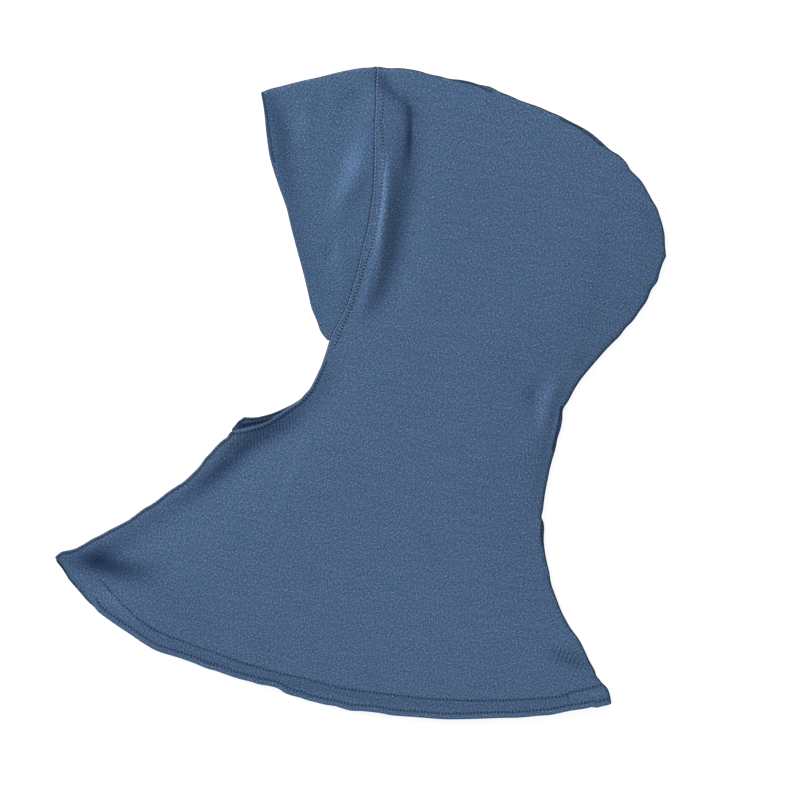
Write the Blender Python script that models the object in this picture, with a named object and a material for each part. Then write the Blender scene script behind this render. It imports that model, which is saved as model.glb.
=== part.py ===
"""Underscarf cap: a jersey hood with a crescent forehead band, lying flat on its right side.

The hood is seen from +Z. Its crown points towards +Y, its face opening and throat towards -X and its
back towards +X. The near layer is the left side panel, the far layer is the right side panel, and the
two meet in a rounded edge along the crown, the back and the throat. The face opening and the bottom hem
stay open. The floor is z = 0, and the origin is under the middle of the hood's box.
"""

from typing import NamedTuple

import bmesh
import bpy
import numpy as np

# Driving sizes, in metres
HOOD_LENGTH = 0.430
HOOD_WIDTH = 0.404
CLOTH = 0.0010
BAND_CLOTH = 0.0020
GAP = 0.0003
EDGE_TURN = 0.0004
INNER_BEND = 0.0008
LOFT = 0.0062
LOFT_REACH = 0.070
MOUTH_DROOP = 0.0022
DROOP_REACH = 0.030
FACE_HEM_WIDTH = 0.0060
BOTTOM_HEM_WIDTH = 0.0120
SEAM_ALLOWANCE = 0.0050
FACE_HEM_STOP = 0.0080
SEAM_END_CLEARANCE = 0.0025
FOLD_FADE = 0.012

# Sizes that follow from the cloth
HEM_INSET = CLOTH + GAP
BAND_INSET = (BAND_CLOTH - CLOTH) / 2
ROLL_RADIUS = CLOTH / 2 + INNER_BEND + HEM_INSET
SEAM_HEIGHT = CLOTH / 2 + ROLL_RADIUS

# Grid steps
SPLINE_STEPS = 8
ROLL_STEPS = (0.0, 0.08, 0.30, 0.62, 1.0, 1.8, 2.8, 4.2)
PLAIN_STEPS = (0.0, 0.12, 0.45, 1.0, 3.0)
CHIN_STEPS = (0.0, 1.2)
HEM_STEPS = (0.0, 1.6, 3.2, 5.2)
FACE_HEM_SHARES = (0.0, 0.35, 0.7, 1.0)
BOTTOM_HEM_SHARES = (0.0, 0.33, 0.67, 1.0)
BAND_COLUMNS = 8
FACE_CROWDING = 1.3
PROBE = 0.002
MOST_SLANT = 1.6
MERGE_DISTANCE = 1e-6


class Knot(NamedTuple):
    """A point of an outline, from the middle of the hood's box.

    across and up are shares of HOOD_WIDTH and HOOD_LENGTH. peek is how far the far layer shows past
    the near one there, square to the edge, as a share of HOOD_WIDTH.
    """

    across: float
    up: float
    peek: float = 0.0


class Fold(NamedTuple):
    """A fold of the near layer: a soft ridge, or a valley where its height is negative.

    path holds the places that its line runs through, as shares of HOOD_WIDTH and HOOD_LENGTH. reach is
    a share of HOOD_WIDTH, and height a share of LOFT.
    """

    path: tuple
    reach: float
    height: float


# Seam of the band, then edge of the face opening, from the crown down to the chin
FACE = (
    Knot(0.028, 0.499),
    Knot(0.025, 0.420),
    Knot(0.023, 0.328),
    Knot(0.017, 0.276),
    Knot(0.006, 0.225),
    Knot(-0.010, 0.167),
    Knot(-0.030, 0.117),
    Knot(-0.050, 0.077),
    Knot(-0.059, 0.048),
    Knot(-0.073, 0.019, 0.000),
    Knot(-0.089, -0.003, 0.001),
    Knot(-0.108, -0.019, 0.003),
    Knot(-0.133, -0.034, 0.006),
    Knot(-0.159, -0.046, 0.010),
    Knot(-0.185, -0.055, 0.014),
    Knot(-0.211, -0.061, 0.011),
)
# Throat, from the chin down to the front corner of the hem
THROAT = (
    Knot(-0.227, -0.076),
    Knot(-0.243, -0.093),
    Knot(-0.276, -0.128),
    Knot(-0.325, -0.162),
    Knot(-0.377, -0.194),
    Knot(-0.423, -0.218),
    Knot(-0.465, -0.240),
    Knot(-0.499, -0.255),
)
# Bottom hem, from its front corner to its back corner
HEM = (
    Knot(-0.499, -0.255),
    Knot(-0.485, -0.263, 0.006),
    Knot(-0.468, -0.280, 0.010),
    Knot(-0.449, -0.300, 0.010),
    Knot(-0.434, -0.327, 0.002),
    Knot(-0.406, -0.349),
    Knot(-0.357, -0.380),
    Knot(-0.300, -0.404),
    Knot(-0.178, -0.442),
    Knot(-0.128, -0.456),
    Knot(-0.097, -0.466),
    Knot(-0.015, -0.486),
    Knot(0.066, -0.495),
    Knot(0.147, -0.500),
    Knot(0.229, -0.499),
    Knot(0.310, -0.493),
    Knot(0.359, -0.485),
    Knot(0.411, -0.477),
)
# Crown, back of the head, nape and back of the neck, from the band seam to the hem's back corner
BACK = (
    Knot(0.028, 0.499),
    Knot(0.090, 0.494),
    Knot(0.172, 0.478),
    Knot(0.261, 0.448),
    Knot(0.359, 0.408),
    Knot(0.428, 0.360),
    Knot(0.478, 0.293),
    Knot(0.496, 0.245),
    Knot(0.500, 0.208),
    Knot(0.489, 0.182),
    Knot(0.473, 0.151),
    Knot(0.445, 0.109),
    Knot(0.401, 0.065),
    Knot(0.359, 0.017),
    Knot(0.333, -0.026),
    Knot(0.327, -0.061),
    Knot(0.314, -0.104),
    Knot(0.302, -0.157),
    Knot(0.299, -0.194),
    Knot(0.302, -0.238),
    Knot(0.309, -0.275),
    Knot(0.323, -0.321),
    Knot(0.343, -0.359),
    Knot(0.367, -0.396),
    Knot(0.392, -0.440),
    Knot(0.405, -0.455),
    Knot(0.411, -0.477),
)
OCCIPUT = Knot(0.500, 0.208)
# Folded top of the band, from its front corner to the crown
BAND_TOP = (
    Knot(-0.159, 0.461),
    Knot(-0.097, 0.477),
    Knot(-0.032, 0.491),
    Knot(0.004, 0.497),
    Knot(0.028, 0.499),
)
# Front edge of the band, from its top corner down to its tip
BAND_FRONT = (
    Knot(-0.159, 0.461),
    Knot(-0.152, 0.435, 0.003),
    Knot(-0.141, 0.363, 0.004),
    Knot(-0.126, 0.312, 0.002),
    Knot(-0.110, 0.256),
    Knot(-0.090, 0.184),
    Knot(-0.076, 0.129),
    Knot(-0.061, 0.094),
    Knot(-0.053, 0.083),
)

# Main folds, by the place where each lies
PLEAT_FOLDS = (
    Fold(((0.036, 0.370), (0.028, 0.230), (0.010, 0.140)), 0.016, 0.20),
    Fold(((0.066, 0.320), (0.046, 0.180), (0.020, 0.100)), 0.018, -0.18),
    Fold(((0.032, 0.470), (0.078, 0.446), (0.080, 0.340)), 0.010, -0.18),
)
BAND_FOLDS = (
    Fold(((0.008, 0.430), (-0.006, 0.350), (-0.046, 0.240)), 0.018, 0.15),
    Fold(((-0.022, 0.440), (-0.034, 0.400)), 0.016, -0.12),
    Fold(((-0.134, 0.430), (-0.122, 0.370)), 0.018, -0.12),
)
CHIN_FOLDS = (
    Fold(((-0.085, -0.020), (-0.150, -0.062), (-0.205, -0.100), (-0.240, -0.125)), 0.016, -0.18),
)
HEM_FOLDS = (
    Fold(((-0.440, -0.252), (-0.395, -0.285)), 0.018, -0.16),
    Fold(((-0.330, -0.360), (-0.220, -0.330)), 0.030, 0.12),
    Fold(((0.350, -0.420), (0.372, -0.440)), 0.014, 0.10),
)
NAPE_FOLDS = (
    Fold(((0.322, 0.030), (0.294, -0.042)), 0.014, 0.20),
    Fold(((0.280, 0.010), (0.276, -0.040)), 0.018, -0.16),
    Fold(((0.276, -0.070), (0.262, -0.130)), 0.020, 0.12),
)
FOLDS = PLEAT_FOLDS + BAND_FOLDS + CHIN_FOLDS + HEM_FOLDS + NAPE_FOLDS


def place(across, up):
    """Give the x and y of a point whose place is a share of the hood's width and length."""
    return np.array([across * HOOD_WIDTH, up * HOOD_LENGTH])


def spline(knots):
    """Draw a smooth line through knots, as rows of x, y and peek in metres.

    Each stretch is a cubic whose slopes come from the neighbouring knots, spaced by their distance.
    """
    points = np.array([[*place(knot.across, knot.up), knot.peek * HOOD_WIDTH] for knot in knots])
    marks = np.concatenate([[0.0], np.cumsum(np.linalg.norm(np.diff(points[:, :2], axis=0), axis=1))])
    slopes = np.gradient(points, marks, axis=0)
    share = np.linspace(0.0, 1.0, SPLINE_STEPS, endpoint=False)[:, None]
    line = []
    for first in range(len(points) - 1):
        span = marks[first + 1] - marks[first]
        line.append(
            (2 * share**3 - 3 * share**2 + 1) * points[first]
            + (share**3 - 2 * share**2 + share) * span * slopes[first]
            + (3 * share**2 - 2 * share**3) * points[first + 1]
            + (share**3 - share**2) * span * slopes[first + 1]
        )
    line.append(points[-1:])
    return np.concatenate(line)


def left_normals(line):
    """Give the unit normals to the left of a line's direction of travel."""
    along = np.gradient(line, axis=0)
    along /= np.linalg.norm(along, axis=1, keepdims=True)
    return np.column_stack([-along[:, 1], along[:, 0]])


def shifted(line, distance):
    """Move a line of x and y to its left by a distance, which may differ from point to point."""
    return line + left_normals(line) * np.reshape(distance, (-1, 1))


def outline(knots, far):
    """Draw an outline of one layer. The far layer reaches further out by the knots' peek."""
    line = spline(knots)
    return shifted(line[:, :2], -line[:, 2]) if far else line[:, :2]


def lengths(line):
    """Give the distance along a line to each of its points."""
    return np.concatenate([[0.0], np.cumsum(np.linalg.norm(np.diff(line, axis=0), axis=1))])


def at_share(line, share):
    """Give the points of a line at shares of its length."""
    marks = lengths(line)
    wanted = share * marks[-1]
    return np.stack([np.interp(wanted, marks, line[:, axis]) for axis in range(2)], axis=-1)


def nearest_index(line, point):
    """Give the index of the point of a line that lies nearest to a point."""
    return int(np.argmin(np.linalg.norm(line - point, axis=1)))


def distance_to(points, line):
    """Give the distance of each point to a line made of straight stretches."""
    flat = points.reshape(-1, 1, 2)
    start = line[:-1]
    run = np.diff(line, axis=0)
    share = np.clip(((flat - start) * run).sum(-1) / (run * run).sum(-1), 0.0, 1.0)
    nearest = start + share[..., None] * run
    return np.linalg.norm(flat - nearest, axis=-1).min(axis=1).reshape(points.shape[:-1])


def crossing(before, after):
    """Give the point where the last stretch of one line, made longer, meets the first of the next."""
    start, other = before[-1], after[0]
    run = before[-1] - before[-2]
    other_run = after[1] - after[0]
    share = np.linalg.solve(np.column_stack([run, -other_run]), other - start)[0]
    return start + share * run


def joined_corner(before, after, trim):
    """Trim two lines that meet in a corner, and end both of them in the point where they cross."""
    corner = crossing(before, after)
    before = before[np.linalg.norm(before - corner, axis=1) > trim]
    after = after[np.linalg.norm(after - corner, axis=1) > trim]
    return np.vstack([before, corner]), np.vstack([corner, after])


def quarter_round(share):
    """Rise as a quarter of a circle does, from 0 at 0 to 1 at 1, and stay there."""
    return np.sqrt(1.0 - (1.0 - np.clip(share, 0.0, 1.0)) ** 2)


def ease(share):
    """Rise quickly from 0 and settle at 1."""
    return 1.0 - (1.0 - np.clip(share, 0.0, 1.0)) ** 2


def coons(top, bottom, left, right, u, v):
    """Fill four sides with a smooth net: u runs from left to right, and v from top to bottom."""
    u_column, v_column = u[..., None], v[..., None]
    corners = (
        (1 - u_column) * (1 - v_column) * top[0]
        + u_column * (1 - v_column) * top[-1]
        + (1 - u_column) * v_column * bottom[0]
        + u_column * v_column * bottom[-1]
    )
    return (
        (1 - v_column) * at_share(top, u)
        + v_column * at_share(bottom, u)
        + (1 - u_column) * at_share(left, v)
        + u_column * at_share(right, v)
        - corners
    )


class Patch:
    """Four sides of a layer: top, bottom, left and right, and the net between them."""

    def __init__(self, top, bottom, left, right):
        self.top = top
        self.bottom = bottom
        self.left = left
        self.right = right

    def points(self, u, v):
        """Give the x and y of the net at shares u and v."""
        return coons(self.top, self.bottom, self.left, self.right, u, v)

    def row_lengths(self, v):
        """Give the length of the rows at shares v, which run from left to right."""
        u = np.linspace(0.0, 1.0, 41)
        rows = self.points(*np.broadcast_arrays(u[None, :], v[:, None]))
        return np.linalg.norm(np.diff(rows, axis=1), axis=-1).sum(axis=1)

    def column_lengths(self, u):
        """Give the length of the columns at shares u, which run from top to bottom."""
        v = np.linspace(0.0, 1.0, 41)
        columns = self.points(*np.broadcast_arrays(u[None, :], v[:, None]))
        return np.linalg.norm(np.diff(columns, axis=0), axis=-1).sum(axis=0)


def spread(length, start_steps, middle, end_steps, power):
    """Give the shares of a net's lines for each length: fixed steps at both ends, a count between.

    The power draws the lines of the middle towards the start.
    """
    length = np.reshape(length, (-1, 1))
    start = np.array(start_steps) * ROLL_RADIUS
    end = np.array(end_steps) * ROLL_RADIUS
    inner = np.linspace(0.0, 1.0, middle + 2)[1:-1] ** power
    between = start[-1] + (length - start[-1] - end[-1]) * inner
    rows = len(length)
    marks = [np.tile(start, (rows, 1)), between, length - np.tile(end[::-1], (rows, 1))]
    return np.concatenate(marks, axis=1) / length


class Layer:
    """One layer of the hood: its outlines, its patch at an inset from them and its height."""

    def __init__(self, far, columns, face_rows, throat_rows, steps):
        self.far = far
        self.columns = columns
        self.face_rows = face_rows
        self.throat_rows = throat_rows
        self.steps = steps
        self.face = outline(FACE, far)
        self.throat = np.vstack([self.face[-1:], outline(THROAT, far)])
        face, throat = lengths(self.face)[-1], lengths(self.throat)[-1]
        self.chin = face / (face + throat)
        self.hem = outline(HEM, far)
        self.back = outline(BACK, far)
        self.band_top = outline(BAND_TOP, far)
        self.band_front = outline(BAND_FRONT, far)
        self.spine = np.vstack([self.band_top, self.back[1:]])
        below_tip = self.face[nearest_index(self.face, self.band_front[-1]) :]
        self.mouth = np.vstack([self.band_front, below_tip])

    def patch(self, face_inset, closed_inset, hem_inset):
        """Give the net of the panel, with its sides moved in from the outlines."""
        trim = 3 * max(face_inset, closed_inset, hem_inset)
        face = shifted(self.face, face_inset)
        throat = shifted(self.throat, closed_inset)
        hem = shifted(self.hem, hem_inset)
        back = shifted(self.back[::-1], closed_inset)
        back, face = joined_corner(back, face, trim)
        face, throat = joined_corner(face, throat, trim)
        throat, hem = joined_corner(throat, hem, trim)
        hem, back = joined_corner(hem, back, trim)
        split = nearest_index(back, place(OCCIPUT.across, OCCIPUT.up))
        left = np.vstack([face, throat[1:]])
        return Patch(top=back[split:][::-1], bottom=hem, left=left, right=back[: split + 1][::-1])

    def column_shares(self, length):
        """Give the places of the net's columns along rows of these lengths."""
        return spread(length, self.steps, self.columns, self.steps, FACE_CROWDING)

    def row_shares(self, length):
        """Give the places of the net's rows along columns of these lengths, with one at the chin."""
        length = np.reshape(length, (-1, 1))
        face = spread(length * self.chin, self.steps, self.face_rows, CHIN_STEPS, 1.0)
        throat = spread(length * (1 - self.chin), CHIN_STEPS, self.throat_rows, HEM_STEPS, 1.0)
        return np.hstack([face * self.chin, self.chin + throat[:, 1:] * (1 - self.chin)])

    def band_patch(self):
        """Give the net of the band's leaf, from its folded top down to its tip."""
        inset = CLOTH / 2 + BAND_INSET
        tip = nearest_index(self.face, self.band_front[-1])
        rear = self.face[: tip + 1]
        top = shifted(self.band_top, -inset)
        _, front = joined_corner(top[::-1], self.band_front, 2 * inset)
        top = np.vstack([front[:1], top[1:-1]])
        _, rear = joined_corner(top, rear, 2 * inset)
        top = np.vstack([top, rear[:1]])
        return Patch(top=top, bottom=np.vstack([front[-1], rear[-1]]), left=front, right=rear)

    def height(self, points, inset):
        """Give the height of the middle of the cloth at points, for a piece inset in the hollow.

        Both layers leave the seam's height in a quarter circle. The far layer then lies flat, and
        the near one is lofted above it, sags to its mouths and carries the folds.
        """
        spine = distance_to(points, self.spine)
        throat = distance_to(points, self.throat)
        closed = np.minimum(spine, throat)
        radius = ROLL_RADIUS - inset
        roll = radius * quarter_round((closed - CLOTH / 2 - inset) / radius)
        if self.far:
            return SEAM_HEIGHT - roll
        mouth = np.minimum(distance_to(points, self.mouth), distance_to(points, self.hem))
        droop = MOUTH_DROOP * np.exp(-((mouth / DROOP_REACH) ** 2))
        lift = (LOFT - droop) * ease(spine / LOFT_REACH) * ease(throat / LOFT_REACH)
        return SEAM_HEIGHT + roll + lift + folds(points) * ease(closed / FOLD_FADE)


def folds(points):
    """Give the height that the folds add at points, each a soft ridge beside its line."""
    height = np.zeros(points.shape[:-1])
    for fold in FOLDS:
        line = np.stack([place(*spot) for spot in fold.path])
        away = distance_to(points, line) / (fold.reach * HOOD_WIDTH)
        height += fold.height * LOFT * np.exp(-(away**2))
    return height


def with_height(layer, points, inset):
    """Give the points of a net with the height of their layer."""
    return np.concatenate([points, layer.height(points, inset)[..., None]], axis=-1)


def turned_edges(net, layer):
    """Turn all four edges of a panel's net into the hollow, by a narrow upright lip."""
    towards = 1.0 if layer.far else -1.0
    lip = EDGE_TURN + GAP / 2
    reach = SEAM_HEIGHT - towards * lip
    net[..., 2] = np.minimum(net[..., 2], reach) if layer.far else np.maximum(net[..., 2], reach)
    padded = np.pad(net, ((1, 1), (1, 1), (0, 0)), mode="edge")
    rim = np.ones(padded.shape[:2], dtype=bool)
    rim[1:-1, 1:-1] = False
    padded[rim, 2] += towards * EDGE_TURN
    return padded


def linear_colour(red, green, blue):
    """Turn a colour of 0 to 255 a channel into the linear values that a material takes."""
    channels = np.array([red, green, blue]) / 255
    linear = np.where(channels <= 0.04045, channels / 12.92, ((channels + 0.055) / 1.055) ** 2.4)
    return (*linear.tolist(), 1.0)


def jersey(name, red, green, blue):
    """Make the matt knitted material of one piece."""
    material = bpy.data.materials.new(name)
    material.use_nodes = True
    shader = material.node_tree.nodes["Principled BSDF"]
    shader.inputs["Base Color"].default_value = linear_colour(red, green, blue)
    shader.inputs["Roughness"].default_value = 0.9
    shader.inputs["Metallic"].default_value = 0.0
    return material


def cloth_piece(name, net, thickness, material, ring=False):
    """Make a piece of cloth from a net of points, and give it its thickness.

    The net has rows, columns and x, y, z. On a ring the last column joins the first.
    """
    rows, columns = net.shape[:2]
    numbers = np.arange(rows * columns).reshape(rows, columns)
    following = np.roll(numbers, -1, axis=1) if ring else numbers[:, 1:]
    kept = numbers if ring else numbers[:, :-1]
    quads = np.stack([kept[:-1], following[:-1], following[1:], kept[1:]], axis=-1).reshape(-1, 4)
    mesh = bpy.data.meshes.new(name)
    mesh.from_pydata(net.reshape(-1, 3).tolist(), [], quads.tolist())
    sheet = bmesh.new()
    sheet.from_mesh(mesh)
    bmesh.ops.remove_doubles(sheet, verts=sheet.verts, dist=MERGE_DISTANCE)
    sheet.to_mesh(mesh)
    sheet.free()
    mesh.materials.append(material)
    mesh.shade_smooth()
    piece = bpy.data.objects.new(name, mesh)
    bpy.context.scene.collection.objects.link(piece)
    wall = piece.modifiers.new("thickness", "SOLIDIFY")
    wall.thickness = thickness
    wall.offset = 0.0
    return piece


def make_panel(name, layer, material):
    """Make a side panel, whose edges turn into the hollow all round."""
    patch = layer.patch(CLOTH / 2 + GAP, CLOTH / 2, CLOTH / 2)
    row_count = layer.row_shares(1.0).shape[1]
    column_count = layer.column_shares(1.0).shape[1]
    u = layer.column_shares(patch.row_lengths(np.linspace(0.0, 1.0, row_count)))
    v = layer.row_shares(patch.column_lengths(np.linspace(0.0, 1.0, column_count))).T
    net = with_height(layer, patch.points(u, v), 0.0)
    return cloth_piece(name, turned_edges(net, layer), CLOTH, material)


def make_band(near, far, material):
    """Make the doubled forehead band: the near leaf, the fold along its top and the far leaf."""
    leaves = []
    for layer in (near, far):
        patch = layer.band_patch()
        rear = lengths(patch.right)[-1]
        left = lengths(layer.face)[-1] / layer.chin
        v = layer.row_shares(left)[0] * left / rear
        v = np.append(v[v < 1 - PROBE / rear], 1.0)[:, None]
        u = np.linspace(0.0, 1.0, BAND_COLUMNS)[None, :]
        leaves.append(with_height(layer, patch.points(*np.broadcast_arrays(u, v)), BAND_INSET))
    net = np.concatenate([leaves[0][::-1], leaves[1][1:]])
    return cloth_piece("forehead_band", net, BAND_CLOTH, material)


def slant(edge, inner):
    """Give how much longer a step from edge to inner is than its distance square to the edge."""
    step = inner - edge
    size = np.linalg.norm(step, axis=1)
    square = np.abs((step * left_normals(edge)).sum(axis=1))
    return np.minimum(size / square, MOST_SLANT)


def make_face_hem(near, far, material):
    """Make the narrow hem behind the face edge: up the near layer, over the crown, down the far one."""
    leaves = []
    for layer in (near, far):
        patch = layer.patch(CLOTH + 2 * GAP, CLOTH / 2 + HEM_INSET, CLOTH + GAP)
        left = lengths(patch.left)[-1]
        stop = layer.chin - FACE_HEM_STOP / left
        v = layer.row_shares(left)[0]
        v = np.append(v[v < stop - PROBE / left], stop)
        row = patch.row_lengths(v)
        edge = patch.points(np.zeros_like(v), v)
        reach = FACE_HEM_WIDTH * slant(edge, patch.points(PROBE / row, v)) / row
        strip = [patch.points(share * reach, v) for share in FACE_HEM_SHARES]
        leaves.append(with_height(layer, np.stack(strip), HEM_INSET))
    net = np.concatenate([leaves[0][:, ::-1], leaves[1][:, 1:]], axis=1)
    return cloth_piece("face_hem", net, CLOTH, material)


def make_bottom_hem(near, far, material):
    """Make the turned hem as a ring: along the near layer, round the back, along the far layer."""
    leaves = []
    for layer in (near, far):
        patch = layer.patch(CLOTH + 2 * GAP, CLOTH / 2 + HEM_INSET, CLOTH + GAP)
        u = layer.column_shares(lengths(patch.bottom)[-1])[0]
        column = patch.column_lengths(u)
        edge = patch.points(u, np.ones_like(u))
        reach = BOTTOM_HEM_WIDTH * slant(edge, patch.points(u, 1 - PROBE / column)) / column
        strip = [patch.points(u, 1 - share * reach) for share in BOTTOM_HEM_SHARES]
        leaves.append(with_height(layer, np.stack(strip), HEM_INSET))
    net = np.concatenate([leaves[0], leaves[1][:, -2:0:-1]], axis=1)
    return cloth_piece("bottom_hem", net, CLOTH, material, ring=True)


def make_seam(name, line, start_clearance, end_clearance, stations, material):
    """Make the allowance of a closed seam, a flat strip inside the hollow along a line's left."""
    whole = lengths(line)[-1]
    share = np.linspace(start_clearance / whole, 1 - end_clearance / whole, stations)
    outer = CLOTH + 2 * GAP
    sides = [at_share(shifted(line, inset), share) for inset in (outer, outer + SEAM_ALLOWANCE)]
    net = np.stack(sides)
    height = np.full((*net.shape[:2], 1), SEAM_HEIGHT)
    return cloth_piece(name, np.concatenate([net, height], axis=-1), CLOTH, material)


def clear_scene():
    """Take away whatever the scene holds."""
    for old in list(bpy.data.objects):
        bpy.data.objects.remove(old, do_unlink=True)


def main():
    """Make all pieces of the hood."""
    clear_scene()
    near = Layer(far=False, columns=14, face_rows=15, throat_rows=8, steps=ROLL_STEPS)
    far = Layer(far=True, columns=14, face_rows=12, throat_rows=6, steps=PLAIN_STEPS)
    make_panel("left_panel", near, jersey("left_jersey", 76, 101, 132))
    make_panel("right_panel", far, jersey("right_jersey", 73, 98, 129))
    make_band(near, far, jersey("band_jersey", 73, 98, 130))
    make_face_hem(near, far, jersey("face_hem_jersey", 71, 96, 127))
    make_bottom_hem(near, far, jersey("bottom_hem_jersey", 74, 99, 130))
    face_end = CLOTH + 2 * GAP + FACE_HEM_WIDTH + SEAM_END_CLEARANCE
    hem_end = 1.2 * (CLOTH + GAP + BOTTOM_HEM_WIDTH) + SEAM_END_CLEARANCE
    seam_jersey = jersey("seam_jersey", 66, 90, 121)
    make_seam("crown_seam", near.back[::-1], hem_end, face_end, 44, seam_jersey)
    make_seam("throat_seam", near.throat, FACE_HEM_STOP, hem_end, 12, seam_jersey)


main()
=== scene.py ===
"""Looks of the underscarf cap: a melange jersey hood with a crescent forehead band, lying on its side.

The hood lies as its solids do: crown towards +Y, face opening and throat towards -X, back towards +X,
and the floor at z = 0. All lines are held in millimetres from the middle of the hood.
"""

from __future__ import annotations

import logging
import math
from collections.abc import Mapping, Sequence
from dataclasses import dataclass
from enum import Enum

import bmesh
import bpy
import numpy as np
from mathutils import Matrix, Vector


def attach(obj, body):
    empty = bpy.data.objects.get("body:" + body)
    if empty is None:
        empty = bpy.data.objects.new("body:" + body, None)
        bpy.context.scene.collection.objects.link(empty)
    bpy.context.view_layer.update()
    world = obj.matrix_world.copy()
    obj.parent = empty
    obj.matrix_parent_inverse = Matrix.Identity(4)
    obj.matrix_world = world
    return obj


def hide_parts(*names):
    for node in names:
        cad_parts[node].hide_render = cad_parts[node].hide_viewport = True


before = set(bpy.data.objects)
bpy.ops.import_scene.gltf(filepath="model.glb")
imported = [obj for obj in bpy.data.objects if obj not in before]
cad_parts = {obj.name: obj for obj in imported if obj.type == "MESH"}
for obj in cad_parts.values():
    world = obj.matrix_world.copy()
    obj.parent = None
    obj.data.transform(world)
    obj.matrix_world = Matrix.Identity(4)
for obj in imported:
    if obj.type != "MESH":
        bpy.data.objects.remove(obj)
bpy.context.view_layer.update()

LOG = logging.getLogger("underscarf")
MM = 0.001
LINE_STEP = 1.2 * MM
MERGE_DISTANCE = 1e-6
LARGEST_BATCH = 1_500_000
FOLD_RELIEF = 1.5
PALE_FIBRE = (0.19, 0.24, 0.30, 1.0)
# Dark blue that painted shade mixes into the cloth's colour
DEEP_SHADE = (0.001, 0.008, 0.036, 1.0)
MEASURED_POINTS = 61
THREAD_SIDES = 5

Line = tuple[tuple[float, float], ...]
Ridge = tuple[tuple[float, float, float], ...]
Colour = tuple[float, float, float]

# Folded top of the band, from its front corner to the crown
BAND_TOP: Line = (
    (-64.2, 198.1), (-58.9, 200.1), (-52.3, 201.7), (-39.1, 205.1), (-26.0, 208.0),
    (-12.8, 211.3), (-4.9, 212.9), (1.6, 213.9), (8.2, 214.3), (11.2, 214.9),
)
# Front edge of the band, from its top corner to its tip
BAND_FRONT: Line = (
    (-64.2, 198.1), (-61.5, 186.9), (-59.2, 170.5), (-56.9, 156.0), (-52.3, 138.9),
    (-47.0, 121.2), (-44.4, 110.0), (-40.5, 94.9), (-36.2, 79.1), (-32.9, 65.3),
    (-30.6, 55.4), (-27.3, 47.5), (-24.7, 40.3), (-20.4, 34.4),
)
# Front edge of the band's far leaf, which shows past the near one
BAND_FRONT_FAR: Line = (
    (-64.2, 198.1), (-62.3, 186.9), (-60.6, 170.5), (-58.5, 156.0), (-53.4, 138.9),
    (-47.2, 121.2), (-44.4, 110.0), (-40.5, 94.9), (-36.2, 79.1), (-32.9, 65.3),
    (-30.6, 55.4), (-27.3, 47.5), (-24.7, 40.3), (-20.4, 34.4),
)
# Seam between band and panel, from the crown to the band's tip
FACE_SEAM: Line = (
    (11.2, 214.9), (10.5, 202.0), (10.5, 192.2), (9.9, 179.0), (9.5, 165.9),
    (9.5, 152.7), (9.2, 142.9), (8.9, 133.0), (7.6, 123.1), (6.3, 114.6),
    (4.6, 105.4), (2.3, 96.8), (0.3, 88.3), (-1.6, 80.4), (-3.9, 71.9),
    (-6.3, 64.0), (-8.9, 56.7), (-12.2, 49.5), (-16.1, 42.9), (-18.8, 37.0),
    (-20.7, 31.1),
)
# Edge of the face opening below the band, from its tip to the chin
FACE_EDGE: Line = (
    (-23.4, 22.6), (-25.3, 17.3), (-28.0, 11.4), (-30.6, 6.1), (-32.6, 2.5),
    (-35.9, -1.1), (-39.1, -4.7), (-45.7, -9.3), (-50.3, -12.3), (-55.6, -15.9),
    (-60.2, -18.9), (-66.8, -21.5), (-72.0, -22.8), (-78.6, -24.5), (-82.6, -25.1),
    (-85.5, -26.1),
)
FACE_EDGE_FAR: Line = (
    (-23.4, 22.6), (-25.3, 17.3), (-28.0, 11.4), (-30.6, 6.1), (-32.6, 2.5),
    (-35.9, -1.1), (-39.1, -4.4), (-45.7, -8.4), (-51.0, -11.0), (-55.6, -13.0),
    (-60.2, -14.6), (-65.5, -15.9), (-72.0, -17.2), (-76.7, -17.9), (-80.6, -18.2),
    (-82.2, -19.1),
)
# Folded throat, from the chin to the front corner of the hem
THROAT: Line = (
    (-85.9, -27.4), (-91.8, -32.7), (-95.1, -36.0), (-98.4, -39.9), (-102.3, -43.9),
    (-104.9, -47.8), (-108.2, -51.4), (-111.5, -54.7), (-115.5, -58.3), (-121.4, -62.3),
    (-126.0, -65.2), (-131.3, -69.5), (-137.8, -74.1), (-142.5, -76.7), (-147.7, -80.7),
    (-152.3, -84.0), (-157.6, -86.9), (-164.2, -90.2), (-170.7, -93.8), (-177.3, -97.1),
    (-182.6, -100.4), (-187.9, -103.0), (-190.5, -103.7), (-196.4, -105.0),
    (-199.0, -106.6), (-201.7, -109.6),
)
THROAT_TOP_FAR: Line = ((-84.6, -21.5), (-85.9, -23.5))
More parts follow.
